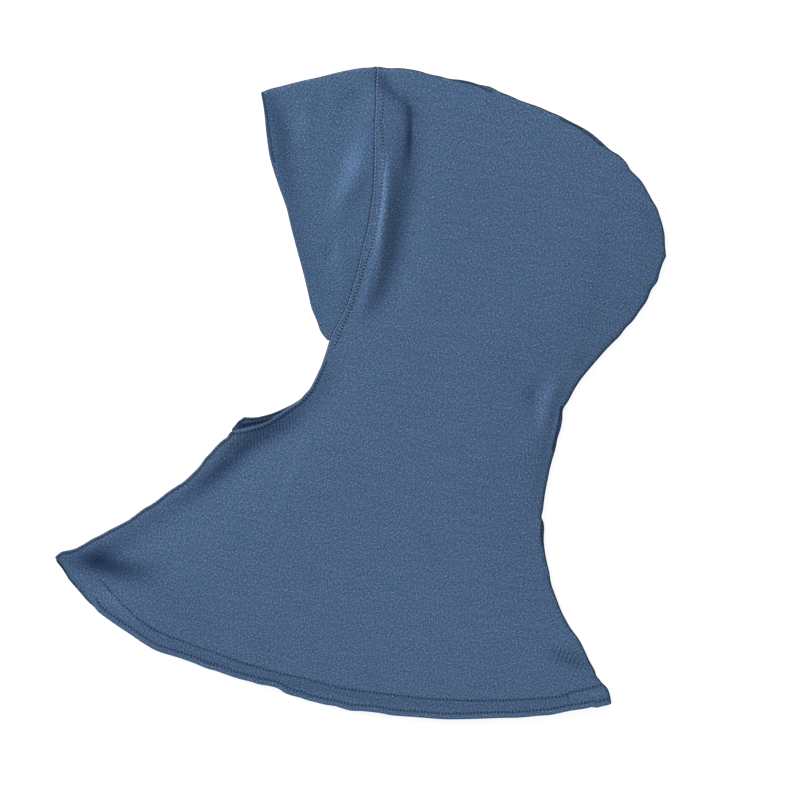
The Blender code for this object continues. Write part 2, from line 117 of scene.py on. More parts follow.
# Bottom hem: its front corner in the near and the far layer, then the rest to the back corner
HEM_CORNER: Line = (
    (-201.7, -109.6), (-198.4, -110.3), (-195.7, -112.6), (-193.1, -115.9), (-190.5, -119.1),
    (-187.2, -122.4), (-183.9, -126.0), (-180.6, -130.3), (-178.3, -134.6), (-175.7, -138.9),
)
HEM_CORNER_FAR: Line = (
    (-201.7, -109.6), (-199.7, -111.9), (-197.1, -114.9), (-195.4, -117.2), (-193.8, -120.1),
    (-191.1, -124.4), (-187.2, -128.7), (-183.9, -132.6), (-180.6, -136.6), (-177.3, -139.8),
)
HEM: Line = (
    (-172.7, -143.5), (-168.8, -146.8), (-164.2, -150.0), (-157.6, -154.6), (-151.0, -158.9),
    (-144.4, -163.5), (-139.2, -166.8), (-134.6, -169.4), (-129.3, -171.4), (-124.7, -172.7),
    (-118.1, -174.7), (-111.5, -177.0), (-104.9, -179.6), (-101.0, -181.3), (-95.1, -182.9),
    (-88.5, -185.2), (-78.6, -188.5), (-72.0, -190.1), (-65.5, -192.1), (-58.9, -193.1),
    (-54.3, -194.4), (-51.7, -195.7), (-49.7, -197.4), (-45.7, -199.0), (-39.1, -200.7),
    (-34.5, -202.3), (-29.3, -203.6), (-22.7, -205.3), (-16.1, -206.3), (-10.9, -207.9),
    (-6.3, -209.2), (0.3, -209.5), (8.2, -210.2), (15.5, -211.2), (20.1, -212.2),
    (26.6, -212.8), (36.5, -213.5), (46.4, -214.3), (53.0, -214.8), (72.7, -214.8),
    (92.4, -214.1), (105.6, -213.8), (118.8, -212.6), (125.3, -212.2), (131.9, -210.9),
    (138.5, -209.5), (145.1, -208.6), (150.3, -207.8), (153.6, -207.0), (155.0, -207.8),
    (158.2, -207.0), (166.1, -205.3),
)
# Crown, from the band's seam to the back of the head
CROWN: Line = (
    (11.2, 214.9), (16.8, 213.9), (20.1, 213.6), (26.6, 213.7), (33.2, 212.9),
    (39.8, 211.6), (46.4, 209.6), (53.0, 208.3), (59.5, 206.6), (66.1, 206.0),
    (72.7, 204.7), (79.3, 202.7), (85.9, 201.4), (92.4, 198.1), (99.0, 195.5),
    (105.6, 192.5), (112.2, 190.2), (118.8, 187.9), (125.3, 185.0), (131.9, 182.3),
    (138.5, 178.7), (145.1, 175.4), (151.7, 171.5), (158.2, 166.2), (165.5, 159.6),
    (171.4, 156.0), (176.0, 151.1), (178.6, 146.5), (181.9, 143.2), (184.6, 140.6),
    (187.2, 137.0), (190.5, 131.0), (192.8, 126.8), (196.1, 121.2), (197.7, 116.6),
    (199.7, 110.0), (201.0, 103.4), (201.3, 96.8), (202.0, 89.6),
)
# Back of the head, nape and back of the neck, down to the hem's back corner
BACK: Line = (
    (202.0, 89.6), (200.4, 86.3), (197.7, 78.4), (196.4, 73.2), (192.5, 67.9),
    (189.2, 60.0), (184.6, 53.5), (180.0, 46.9), (175.4, 42.3), (171.4, 37.0),
    (166.1, 31.8), (162.2, 27.8), (158.2, 23.2), (151.7, 15.6), (145.1, 7.4),
    (141.8, 2.2), (137.2, -6.4), (134.2, -11.0), (133.6, -18.2), (132.3, -24.8),
    (130.6, -30.0), (129.3, -36.6), (127.0, -44.5), (125.3, -51.1), (124.0, -57.7),
    (122.7, -64.2), (121.7, -70.8), (120.9, -77.4), (120.1, -83.3), (121.1, -84.9),
    (121.6, -87.9), (121.4, -97.1), (122.1, -104.3), (123.4, -111.6), (125.0, -118.2),
    (126.3, -126.0), (128.6, -132.6), (130.6, -137.9), (133.2, -144.5), (135.9, -149.7),
    (138.5, -154.3), (145.1, -163.5), (148.4, -170.1), (151.7, -177.3), (155.0, -183.2),
    (156.3, -187.2), (158.2, -189.2), (160.2, -191.8), (162.2, -193.4), (163.8, -195.7),
    (165.2, -200.3), (166.1, -205.3),
)
# Upper stitch row of the hem, and the row behind the band's seam
HEM_ROW_UPPER: Line = (
    (-170.1, -123.4), (-166.1, -128.0), (-162.2, -132.3), (-157.6, -137.2), (-151.0, -143.8),
    (-144.4, -149.4), (-137.8, -154.3), (-131.3, -157.6), (-118.1, -162.9), (-104.9, -167.5),
    (-91.8, -172.1), (-78.6, -177.0), (-65.5, -180.9), (-52.3, -184.6), (-39.1, -187.2),
    (-26.0, -190.8), (-12.8, -194.1), (0.3, -196.1), (13.5, -197.7), (26.6, -199.0),
    (39.8, -200.7), (59.5, -202.0), (92.4, -202.3), (118.8, -201.0), (130.6, -200.0),
    (135.9, -198.4), (139.2, -197.1), (145.1, -196.1), (151.7, -194.4), (158.2, -192.8),
)
TOPSTITCH: Line = (
    (15.5, 197.0), (15.4, 188.0),
    (14.5, 179.0), (15.1, 165.9), (16.1, 154.1), (15.5, 142.9), (14.1, 133.0),
    (13.5, 123.1), (12.2, 112.0), (10.2, 102.8), (7.6, 93.6), (4.9, 85.7),
    (2.3, 79.1), (0.3, 71.9), (-2.3, 64.6), (-4.9, 57.4), (-7.6, 50.8),
    (-10.9, 43.6), (-14.1, 35.7), (-17.4, 29.1),
)
# Short raised line where the ends of the turned hem overlap, drawn only as a line of painted shade
HEM_OVERLAP: Line = ((136.6, -197.6), (137.2, -202.5), (137.8, -207.6))
# Stretches of the crown and back seam that lie visibly inside the edge, drawn as lines of painted shade
SEAM_DITCHES: tuple[Line, ...] = (
    ((53.0, 207.6), (62.8, 205.0), (76.0, 202.0), (87.2, 197.4)),
    ((131.9, 179.7), (141.8, 175.1), (151.7, 168.5), (159.6, 161.9)),
    ((132.6, -9.0), (131.9, -13.6), (129.6, -26.0), (126.7, -37.9)),
    ((119.8, -84.0), (119.4, -93.8), (120.0, -101.0)),
)


def distances_along(line: np.ndarray) -> np.ndarray:
    """Measure a line.

    Args:
        line: Points of the line, as rows of x and y.

    Returns:
        Distance along the line to each of its points.
    """
    return np.concatenate([[0.0], np.cumsum(np.linalg.norm(np.diff(line, axis=0), axis=1))])


def smooth_line(places: Line, step: float = LINE_STEP) -> np.ndarray:
    """Draw a smooth line through places.

    Between two places runs a cubic: each end place times its falling or rising weight, plus each
    end slope times the span and its own weight. Slopes come from the neighbouring places.

    Args:
        places: Places in millimetres.
        step: Largest distance between two points of the line, in metres.

    Returns:
        Evenly spaced points, as rows of x and y in metres.
    """
    points = np.array(places) * MM
    marks = distances_along(points)
    slopes = np.gradient(points, marks, axis=0)
    wanted = np.linspace(0.0, marks[-1], math.ceil(marks[-1] / step) + 1)
    first = np.clip(np.searchsorted(marks, wanted, side="right") - 1, 0, len(points) - 2)
    span = (marks[first + 1] - marks[first])[:, None]
    share = (wanted - marks[first])[:, None] / span
    return (
        (2 * share**3 - 3 * share**2 + 1) * points[first]
        + (share**3 - 2 * share**2 + share) * span * slopes[first]
        + (3 * share**2 - 2 * share**3) * points[first + 1]
        + (share**3 - share**2) * span * slopes[first + 1]
    )


def at_share(line: np.ndarray, share: np.ndarray) -> np.ndarray:
    """Find places along a line.

    Args:
        line: Points of the line, as rows of x and y.
        share: Shares of the line's length.

    Returns:
        Places at those shares, with x and y on the last axis.
    """
    marks = distances_along(line)
    wanted = share * marks[-1]
    return np.stack([np.interp(wanted, marks, line[:, axis]) for axis in range(2)], axis=-1)


def left_normals(line: np.ndarray) -> np.ndarray:
    """Give the unit normals to the left of a line's direction.

    Args:
        line: Points of the line, as rows of x and y.

    Returns:
        One unit normal for each point.
    """
    along = np.gradient(line, axis=0)
    along /= np.maximum(np.linalg.norm(along, axis=1, keepdims=True), 1e-12)
    return np.column_stack([-along[:, 1], along[:, 0]])


def shifted(line: np.ndarray, distance: float) -> np.ndarray:
    """Move a line to its left by a distance."""
    return line + left_normals(line) * distance


def beside(points: np.ndarray, line: np.ndarray) -> tuple[np.ndarray, np.ndarray]:
    """Measure points against a line: the nearest place on the stretches round its nearest point.

    Args:
        points: Points with x and y on the last axis.
        line: Points of the line, as rows of x and y.

    Returns:
        Distance of each point, positive on the left of the line, and the distance along the line
        to its nearest place.
    """
    flat = points.reshape(-1, 2)
    run = np.diff(line, axis=0)
    size = (run * run).sum(axis=-1)
    marks = distances_along(line)
    offsets = (line * line).sum(axis=-1)
    parts = np.array_split(flat, len(flat) * len(line) // LARGEST_BATCH + 1)
    nearest = np.concatenate([(offsets - 2 * part @ line.T).argmin(axis=1) for part in parts])
    found = []
    for stretch in (np.maximum(nearest - 1, 0), np.minimum(nearest, len(run) - 1)):
        away = flat - line[stretch]
        share = np.clip((away * run[stretch]).sum(axis=-1) / size[stretch], 0.0, 1.0)
        away = away - share[:, None] * run[stretch]
        turn = run[stretch, 0] * away[:, 1] - run[stretch, 1] * away[:, 0]
        gap = np.where(turn < 0, -1.0, 1.0) * np.hypot(away[:, 0], away[:, 1])
        found.append((gap, marks[stretch] + share * np.sqrt(size[stretch])))
    closer = np.abs(found[0][0]) < np.abs(found[1][0])
    gap, along = (np.where(closer, before, after) for before, after in zip(*found))
    return gap.reshape(points.shape[:-1]), along.reshape(points.shape[:-1])


def distance_to(points: np.ndarray, line: np.ndarray) -> np.ndarray:
    """Give the plain distance of each point to a line."""
    return np.abs(beside(points, line)[0])


def quarter_round(share: np.ndarray) -> np.ndarray:
    """Rise as a quarter of a circle does, from 0 at 0 to 1 at 1, and stay there."""
    return np.sqrt(1.0 - (1.0 - np.clip(share, 0.0, 1.0)) ** 2)


def ease(share: np.ndarray) -> np.ndarray:
    """Rise quickly from 0 and settle at 1, as a falling parabola does."""
    return 1.0 - (1.0 - np.clip(share, 0.0, 1.0)) ** 2


def crossing(before: np.ndarray, after: np.ndarray) -> np.ndarray:
    """Find the point where the end of one line, made longer, meets the start of the next.

    Args:
        before: Line whose last stretch is made longer.
        after: Line whose first stretch is made longer.

    Returns:
        The point, as x and y.
    """
    run = before[-1] - before[-2]
    other = after[1] - after[0]
    share = np.linalg.solve(np.column_stack([run, -other]), after[0] - before[-1])[0]
    return before[-1] + share * run


def joined_corner(
    before: np.ndarray, after: np.ndarray, trim: float
) -> tuple[np.ndarray, np.ndarray]:
    """Trim two lines that meet in a corner, and end both in the point where they cross.

    Args:
        before: Line that ends in the corner.
        after: Line that starts in the corner.
        trim: Distance from the corner within which other points are dropped.

    Returns:
        Both lines, which share the corner's point.
    """
    corner = crossing(before, after)
    before = before[np.linalg.norm(before - corner, axis=1) > trim]
    after = after[np.linalg.norm(after - corner, axis=1) > trim]
    return np.vstack([before, corner]), np.vstack([corner, after])


@dataclass(frozen=True)
class Patch:
    """Four sides of a layer, and the smooth net between them.

    Attributes:
        top: Upper side, from left to right.
        bottom: Lower side, from left to right.
        left: Left side, from the top down.
        right: Right side, from the top down.
    """

    top: np.ndarray
    bottom: np.ndarray
    left: np.ndarray
    right: np.ndarray

    def points(self, u: np.ndarray, v: np.ndarray) -> np.ndarray:
        """Place the net: the blend of two opposite sides, plus that of the others, less the corners.

        Args:
            u: Shares from left to right.
            v: Shares from top to bottom.

        Returns:
            Places with x and y on the last axis.
        """
        across, down = u[..., None], v[..., None]
        corners = (
            (1 - across) * (1 - down) * self.top[0]
            + across * (1 - down) * self.top[-1]
            + (1 - across) * down * self.bottom[0]
            + across * down * self.bottom[-1]
        )
        return (
            (1 - down) * at_share(self.top, u)
            + down * at_share(self.bottom, u)
            + (1 - across) * at_share(self.left, v)
            + across * at_share(self.right, v)
            - corners
        )

    def row_lengths(self, v: np.ndarray) -> np.ndarray:
        """Give the lengths of the rows at shares v."""
        u = np.linspace(0.0, 1.0, MEASURED_POINTS)
        rows = self.points(*np.broadcast_arrays(u[None, :], v[:, None]))
        return np.linalg.norm(np.diff(rows, axis=1), axis=-1).sum(axis=1)

    def column_lengths(self, u: np.ndarray) -> np.ndarray:
        """Give the lengths of the columns at shares u."""
        v = np.linspace(0.0, 1.0, MEASURED_POINTS)
        columns = self.points(*np.broadcast_arrays(u[None, :], v[:, None]))
        return np.linalg.norm(np.diff(columns, axis=0), axis=-1).sum(axis=0)


def spread(
    length: np.ndarray | float, start: Sequence[float], middle: int, end: Sequence[float]
) -> np.ndarray:
    """Space the lines of a net: fixed steps at both ends, and even ones between.

    Args:
        length: Lengths of the rows or columns that the lines cross, in metres.
        start: Distances of the first lines from the start, in millimetres.
        middle: Count of the even lines between.
        end: Distances of the last lines from the end, in millimetres.

    Returns:
        Shares of each length, one row for each.
    """
    length = np.reshape(length, (-1, 1))
    first = np.array(start) * MM
    last = np.array(end)[::-1] * MM
    inner = np.linspace(0.0, 1.0, middle + 2)[1:-1]
    between = first[-1] + (length - first[-1] - last[0]) * inner
    rows = len(length)
    return np.hstack([np.tile(first, (rows, 1)), between, length - np.tile(last, (rows, 1))]) / length


class Side(Enum):
    """The layer that faces up, or the one that lies on the floor."""

    NEAR = "near"
    FAR = "far"


@dataclass(frozen=True)
class Fold:
    """A soft ridge, or a valley where its height is negative.

    Attributes:
        path: Places that its line runs through, with its height at each, in millimetres.
        left: Reach to the left of the path's direction, in millimetres.
        right: Reach to the right, in millimetres.
    """

    path: Ridge
    left: float
    right: float

    def lift(self, points: np.ndarray) -> np.ndarray:
        """Work out the fold's height: its crest times a bell of the distance over the reach.

        Args:
            points: Points with x and y on the last axis, in metres.

        Returns:
            Height at each point, in metres.
        """
        places = np.array(self.path) * MM
        reach = max(self.left, self.right) * MM
        low, high = places[:, :2].min(axis=0) - 3 * reach, places[:, :2].max(axis=0) + 3 * reach
        close = ((points > low) & (points < high)).all(axis=-1)
        line = smooth_line(tuple((x, y) for x, y, _ in self.path), 3 * LINE_STEP)
        gap, along = beside(points[close], line)
        crest = np.interp(along / distances_along(line)[-1], np.linspace(0, 1, len(places)), places[:, 2])
        sides = np.where(gap > 0, self.left, self.right) * MM
        lift = np.zeros(points.shape[:-1])
        lift[close] = crest * np.exp(-((gap / sides) ** 2))
        return lift


FOLDS: tuple[Fold, ...] = (
    # Pleat behind the band
    Fold(((16.1, 159.3, 0.0), (17.4, 142.9, 1.2), (16.8, 126.4, 1.6), (14.8, 110.0, 1.6),
          (11.5, 93.6, 1.6), (8.2, 77.1, 1.4), (4.3, 60.7, 1.0), (-1.0, 46.2, 0.0)), 6.0, 3.0),
    Fold(((30.6, 185.6, 0.0), (31.9, 165.9, -1.2), (29.9, 139.6, -1.6), (28.0, 119.9, -1.8),
          (26.0, 100.1, -1.6), (22.7, 80.4, -1.4), (17.4, 60.7, -1.0), (10.2, 44.2, 0.0)), 14.0, 8.0),
    Fold(((31.9, 193.5, -0.4), (33.2, 179.0, -0.9), (33.2, 165.9, -0.9), (31.3, 152.7, -0.7),
          (29.9, 138.3, 0.0)), 2.2, 2.2),
    Fold(((13.5, 206.6, 0.0), (20.1, 200.1, -0.9), (25.3, 194.2, -1.1), (31.9, 190.9, -0.8),
          (35.9, 184.3, 0.0)), 4.0, 3.0),
    # Band
    Fold(((4.3, 188.9, 0.0), (1.6, 165.9, 0.8), (-2.3, 146.2, 0.9), (-9.5, 129.7, 0.8),
          (-17.4, 106.7, 0.0)), 6.0, 6.0),
    Fold(((-57.6, 195.5, 0.0), (-54.3, 179.0, -0.7), (-51.0, 159.3, 0.0)), 5.0, 5.0),
    Fold(((-9.5, 206.6, 0.0), (-9.5, 188.9, -0.8), (-14.1, 169.2, 0.0)), 5.0, 5.0),
    Fold(((-16.8, 103.4, 0.0), (-19.4, 90.3, -0.6), (-20.7, 77.1, 0.0)), 4.0, 4.0),
    Fold(((-32.6, 195.5, 0.0), (-33.9, 179.0, 0.5), (-39.1, 159.3, 0.0)), 5.0, 5.0),
    # Chin
    Fold(((-27.3, 2.8, 0.0), (-39.1, -10.3, -1.0), (-52.3, -19.5, -1.4), (-66.8, -27.4, -1.5),
          (-78.6, -34.0, -1.3), (-86.5, -43.2, -0.8), (-94.4, -51.1, 0.0)), 9.0, 4.0),
    Fold(((-85.9, -30.0, 0.0), (-90.5, -35.3, 0.5), (-95.1, -41.2, 0.0)), 2.5, 2.5),
    # Front corner of the hem
    Fold(((-181.3, -107.6, 0.0), (-176.0, -113.5, -1.2), (-168.1, -120.1, -1.4), (-158.9, -127.4, -0.8),
          (-152.3, -133.9, 0.0)), 6.0, 6.0),
    Fold(((-195.7, -106.3, 0.0), (-186.5, -105.7, 0.8), (-177.3, -101.7, 0.5), (-168.1, -95.8, 0.0)),
          3.0, 3.0),
    # Nape
    Fold(((131.9, 16.0, 0.0), (129.3, 4.8, 0.9), (124.0, -8.4, 1.0), (120.1, -21.5, 0.7),
          (117.4, -31.4, 0.0)), 5.0, 5.0),
    Fold(((116.1, 9.4, 0.0), (114.2, -1.8, -0.9), (112.8, -13.0, 0.0)), 5.0, 5.0),
    Fold(((129.3, -7.7, 0.0), (128.6, -18.2, -0.6), (127.3, -31.4, 0.0)), 2.5, 2.5),
    Fold(((113.5, -14.9, 0.0), (112.2, -34.6, 0.5), (109.6, -54.4, 0.0)), 7.0, 7.0),
)

# Painted light and shade, laid into the cloth's colour along its folds, as shares of its brightness, on
# the near layer and on the band
PAINTED_LIGHT_AND_SHADE: tuple[Fold, ...] = (
    # Dark slope of the pleat
    Fold(((34.5, 186.9, -0.15), (33.9, 164.6, -0.28), (31.9, 142.9, -0.36), (28.6, 123.1, -0.42),
          (24.7, 103.4, -0.44), (19.4, 81.7, -0.42), (12.2, 64.0, -0.3), (4.3, 47.5, 0.0)), 7.0, 7.5),
    # Lit ridge of the pleat
    Fold(((16.1, 161.9, 0.0), (16.8, 151.4, 0.54), (16.1, 130.4, 0.56), (14.1, 112.0, 0.48),
          (12.5, 92.9, 0.40), (10.9, 75.2, 0.28), (8.2, 62.0, 0.0)), 2.1, 2.1),
    # Dark fold from the crown to the crease
    Fold(((11.5, 210.6, -0.2), (14.8, 204.0, -0.4), (20.7, 197.4, -0.38), (28.0, 191.5, -0.34),
          (33.2, 184.3, -0.28), (34.5, 176.4, 0.0)), 4.0, 4.5),
    Fold(((33.6, 186.9, -0.25), (33.6, 176.4, -0.56), (33.2, 159.3, -0.42), (31.3, 139.6, 0.0)),
          1.7, 2.2),
    # Band
    Fold(((-60.2, 193.5, -0.24), (-53.0, 179.0, -0.43), (-49.7, 152.7, -0.28), (-43.8, 123.1, -0.16),
          (-34.5, 85.7, -0.12), (-24.7, 64.0, -0.1), (-18.8, 48.9, 0.0)), 6.0, 6.0),
    Fold(((-24.7, 202.7, 0.0), (-28.0, 192.2, -0.13), (-33.9, 179.0, 0.0)), 4.0, 4.0),
    Fold(((-4.9, 205.3, 0.0), (-4.9, 193.5, -0.16), (-6.9, 180.4, -0.06), (-9.5, 172.5, 0.0)),
          5.0, 5.0),
    Fold(((8.9, 204.0, 0.0), (7.9, 194.8, 0.16), (6.9, 179.0, 0.1), (4.3, 165.9, 0.24),
          (-1.0, 156.7, 0.50), (-6.3, 142.2, 0.38), (-14.1, 124.5, 0.16), (-18.1, 112.0, 0.0)),
          7.0, 7.0),
    Fold(((-37.2, 184.3, 0.0), (-37.8, 172.5, 0.1), (-40.5, 159.3, 0.0)), 5.0, 5.0),
    Fold(((-18.1, 110.7, 0.0), (-16.1, 96.8, 0.1), (-14.1, 77.1, 0.06), (-13.5, 65.9, 0.0)), 3.0, 3.0),
    Fold(((6.3, 144.8, 0.0), (2.3, 136.3, -0.14), (-4.9, 126.4, -0.1), (-10.9, 117.2, 0.0)), 4.5, 4.5),
    Fold(((-6.3, 93.6, 0.0), (-4.9, 77.1, -0.08), (-9.5, 60.7, -0.1), (-16.8, 46.2, 0.0)), 5.0, 5.0),
    # Face edge, chin and throat
    Fold(((-17.4, 26.5, 0.0), (-19.4, 16.0, -0.16), (-25.3, 4.1, -0.22), (-32.6, -5.7, -0.34),
          (-39.8, -13.6, -0.46), (-49.0, -20.2, -0.54), (-62.2, -27.4, -0.64), (-72.7, -34.0, -0.64),
          (-81.3, -41.2, -0.46), (-91.8, -50.4, -0.3), (-108.2, -64.2, -0.22), (-131.3, -80.0, -0.22),
          (-154.3, -95.8, -0.3), (-172.1, -105.7, -0.36), (-183.9, -110.3, 0.0)), 7.5, 5.5),
    Fold(((-79.9, -37.3, 0.0), (-84.6, -42.5, 0.14), (-89.8, -47.1, 0.0)), 2.4, 2.4),
    # Front corner
    Fold(((-194.4, -108.9, -0.2), (-187.2, -109.6, -0.44), (-178.6, -110.9, -0.68),
          (-169.4, -112.9, -0.7), (-160.2, -115.5, -0.56), (-149.7, -117.5, -0.34),
          (-136.5, -116.8, -0.16), (-121.4, -114.2, 0.0)), 8.0, 8.0),
    Fold(((-172.7, -126.0, 0.0), (-167.5, -131.3, 0.14), (-159.6, -139.2, 0.16), (-150.3, -147.1, 0.1),
          (-140.5, -155.0, 0.0)), 2.6, 2.6),
    # Creases of the side
    Fold(((-33.2, -20.8, 0.0), (-40.5, -42.5, 0.1), (-53.0, -72.8, 0.09), (-64.2, -93.8, 0.04),
          (-71.4, -108.3, 0.0)), 2.2, 2.2),
    Fold(((-30.6, -24.8, 0.0), (-37.2, -45.8, -0.05), (-49.0, -74.1, -0.04), (-64.2, -102.4, 0.0)),
          3.0, 3.0),
    Fold(((41.1, -89.2, 0.0), (45.1, -98.4, -0.07), (50.3, -110.3, -0.07), (53.6, -116.8, 0.0)),
          2.4, 2.4),
    Fold(((166.8, 139.6, 0.0), (162.2, 110.0, -0.05), (156.9, 73.2, -0.06), (149.0, 37.7, -0.05),
          (143.8, 19.9, 0.0)), 5.0, 5.0),
    Fold(((181.9, 127.8, 0.0), (187.9, 117.2, -0.12), (192.5, 106.7, -0.1), (193.8, 96.2, 0.0)),
          4.5, 4.5),
    # Nape
    Fold(((147.7, 27.8, 0.0), (143.1, 19.9, -0.18), (139.2, 13.3, 0.0)), 4.0, 4.0),
    Fold(((129.3, 9.4, 0.0), (125.3, 1.5, 0.1), (124.0, -8.4, 0.14), (119.4, -20.8, 0.16),
          (116.1, -31.4, 0.0)), 3.5, 3.5),
    Fold(((119.4, 8.1, 0.0), (114.8, 0.2, -0.13), (112.2, -10.3, -0.12), (110.2, -20.8, 0.0)),
          3.5, 3.5),
    Fold(((126.7, -20.8, 0.0), (122.7, -34.0, -0.14), (118.8, -51.1, -0.14), (114.2, -70.8, -0.1),
          (112.2, -84.0, 0.0)), 2.6, 2.6),
    # Hem
    Fold(((-164.2, -133.9, 0.0), (-144.4, -153.0, -0.1), (-118.1, -168.1, -0.14),
          (-85.2, -178.6, -0.16), (-52.3, -189.2, -0.18), (-19.4, -195.7, -0.2), (13.5, -201.7, -0.18),
          (46.4, -204.9, -0.17), (92.4, -206.3, -0.15), (125.3, -204.3, -0.13), (155.6, -198.4, 0.0)),
          3.2, 3.2),
    Fold(((135.9, -162.9, 0.0), (141.1, -172.7, -0.1), (146.4, -181.3, -0.08), (151.7, -191.8, 0.0)),
          5.0, 5.0),
    Fold(((-157.6, -110.3, 0.0), (-131.3, -130.0, -0.05), (-104.9, -153.0, -0.07),
          (-91.8, -169.4, 0.0)), 9.0, 9.0),
)

# Painted shade between the layers, on the far one, where it shows past the near one
FAR_PAINTED_SHADE: tuple[Fold, ...] = (
    Fold(((-200.0, -111.0, -0.85), (-196.0, -114.5, -0.85), (-192.5, -119.0, -0.7),
          (-182.0, -132.0, 0.0)), 1.7, 1.7),
    Fold(((-40.0, -6.5, 0.0), (-55.6, -14.8, -0.4), (-66.8, -19.8, -0.5), (-78.6, -22.6, -0.55),
          (-84.0, -23.8, -0.55)), 3.0, 3.0),
)


@dataclass(frozen=True)
class Lay:
    """Heights of the cloth as it lies, in metres.

    Attributes:
        cloth: Thickness of the jersey.
        roll: Radius of the closed edges, to the middle of the cloth.
        seam_height: Height of the closed edges above the floor.
        loft: Rise of the near layer away from its closed edges.
        loft_reach: Distance over which it rises.
        droop: Sag of the near layer towards its open edges.
        droop_reach: Distance over which it sags.
        fold_fade: Distance from a closed edge over which folds set in.
    """

    cloth: float = 0.0010
    roll: float = 0.0026
    seam_height: float = 0.0031
    loft: float = 0.0062
    loft_reach: float = 0.070
    droop: float = 0.0022
    droop_reach: float = 0.030
    fold_fade: float = 0.012


class HoodLayer:
    """One layer of the hood: its outlines, its net at an inset and its height."""

    def __init__(self, side: Side, lay: Lay) -> None:
        """Draw the outlines of a layer.

        Args:
            side: Which layer it is.
            lay: Heights of the cloth.
        """
        self.side = side
        self.lay = lay
        far = side is Side.FAR
        edge = FACE_EDGE_FAR if far else FACE_EDGE
        throat = ((FACE_EDGE_FAR[-1],) + THROAT_TOP_FAR if far else (FACE_EDGE[-1],)) + THROAT
        self.face = smooth_line(FACE_SEAM + edge)
        self.throat = smooth_line(throat)
        self.hem = smooth_line((HEM_CORNER_FAR if far else HEM_CORNER) + HEM)
        self.crown = smooth_line(CROWN)
        self.back = smooth_line(BACK)
        self.band_top = smooth_line(BAND_TOP)
        self.band_front = smooth_line(BAND_FRONT_FAR if far else BAND_FRONT)
        self.spine = np.vstack([self.band_top, self.crown[1:], self.back[1:]])
        tip = int(np.argmin(np.linalg.norm(self.face - self.band_front[-1], axis=1)))
        self.tip_share = distances_along(self.face)[tip] / distances_along(self.face)[-1]
        self.mouth = np.vstack([self.band_front, self.face[tip:]])
        face_length, throat_length = distances_along(self.face)[-1], distances_along(self.throat)[-1]
        self.chin = face_length / (face_length + throat_length)

    def patch(self, face_inset: float, closed_inset: float, hem_inset: float) -> Patch:
        """Give the net of the panel, with its sides moved in from the outlines.

        Args:
            face_inset: Distance from the face opening.
            closed_inset: Distance from the crown, the back and the throat.
            hem_inset: Distance from the bottom hem.

        Returns:
            The four sides as a patch.
        """
        trim = 3 * max(face_inset, closed_inset, hem_inset)
        face = shifted(self.face, face_inset)
        throat = shifted(self.throat, closed_inset)
        hem = shifted(self.hem, hem_inset)
        rear = shifted(np.vstack([self.crown, self.back[1:]])[::-1], closed_inset)
        rear, face = joined_corner(rear, face, trim)
        face, throat = joined_corner(face, throat, trim)
        throat, hem = joined_corner(throat, hem, trim)
        hem, rear = joined_corner(hem, rear, trim)
        split = int(np.argmin(np.linalg.norm(rear - self.back[0], axis=1)))
        left = np.vstack([face, throat[1:]])
        return Patch(top=rear[split:][::-1], bottom=hem, left=left, right=rear[: split + 1][::-1])

    def band_patch(self, inset: float) -> Patch:
        """Give the net of the band's leaf, from its folded top to its tip.

        Args:
            inset: Distance from the folded top.

        Returns:
            The four sides as a patch.
        """
        tip = int(np.argmin(np.linalg.norm(self.face - self.band_front[-1], axis=1)))
        rear = self.face[: tip + 1]
        top = shifted(self.band_top, -inset)
        _, front = joined_corner(top[::-1], self.band_front, 2 * inset)
        top = np.vstack([front[:1], top[1:-1]])
        _, rear = joined_corner(top, rear, 2 * inset)
        top = np.vstack([top, rear[:1]])
        return Patch(top=top, bottom=np.vstack([front[-1], rear[-1]]), left=front, right=rear)

    def height(self, points: np.ndarray, inset: float = 0.0) -> np.ndarray:
        """Work out the height of the middle of the cloth.

        The layer leaves a closed edge in a quarter circle. The far layer then lies flat. The near
        one adds its loft less its sag, each times its own easing, and the sum of its folds.

        Args:
            points: Points with x and y on the last axis.
            inset: How far inside the hollow the piece lies.

        Returns:
            Height at each point, in metres.
        """
        lay = self.lay
        spine = distance_to(points, self.spine)
        throat = distance_to(points, self.throat)
        closed = np.minimum(spine, throat)
        radius = lay.roll - inset
        roll = radius * quarter_round((closed - lay.cloth / 2 - inset) / radius)
        if self.side is Side.FAR:
            return lay.seam_height - roll
        mouth = np.minimum(distance_to(points, self.mouth), distance_to(points, self.hem))
        droop = lay.droop * np.exp(-((mouth / lay.droop_reach) ** 2))
        lift = (lay.loft - droop) * ease(spine / lay.loft_reach) * ease(throat / lay.loft_reach)
        folds = FOLD_RELIEF * sum(fold.lift(points) for fold in FOLDS)
        return lay.seam_height + roll + lift + folds * ease(closed / lay.fold_fade)

    def lifted(self, points: np.ndarray, inset: float = 0.0) -> np.ndarray:
        """Give points with their height as the third coordinate."""
        return np.concatenate([points, self.height(points, inset)[..., None]], axis=-1)


def grid_faces(rows: int, columns: int, ring: bool = False, flip: bool = False) -> np.ndarray:
    """Number the four-sided faces of a grid of vertices.

    Args:
        rows: Rows of the grid.
        columns: Columns of the grid.
        ring: Whether the last column joins the first.
        flip: Whether the faces point the other way.

    Returns:
        Four vertex numbers for each face.
    """
    numbers = np.arange(rows * columns).reshape(rows, columns)
    following = np.roll(numbers, -1, axis=1) if ring else numbers[:, 1:]
    kept = numbers if ring else numbers[:, :-1]
    quads = np.stack([kept[:-1], following[:-1], following[1:], kept[1:]], axis=-1).reshape(-1, 4)
    return quads[:, ::-1] if flip else quads


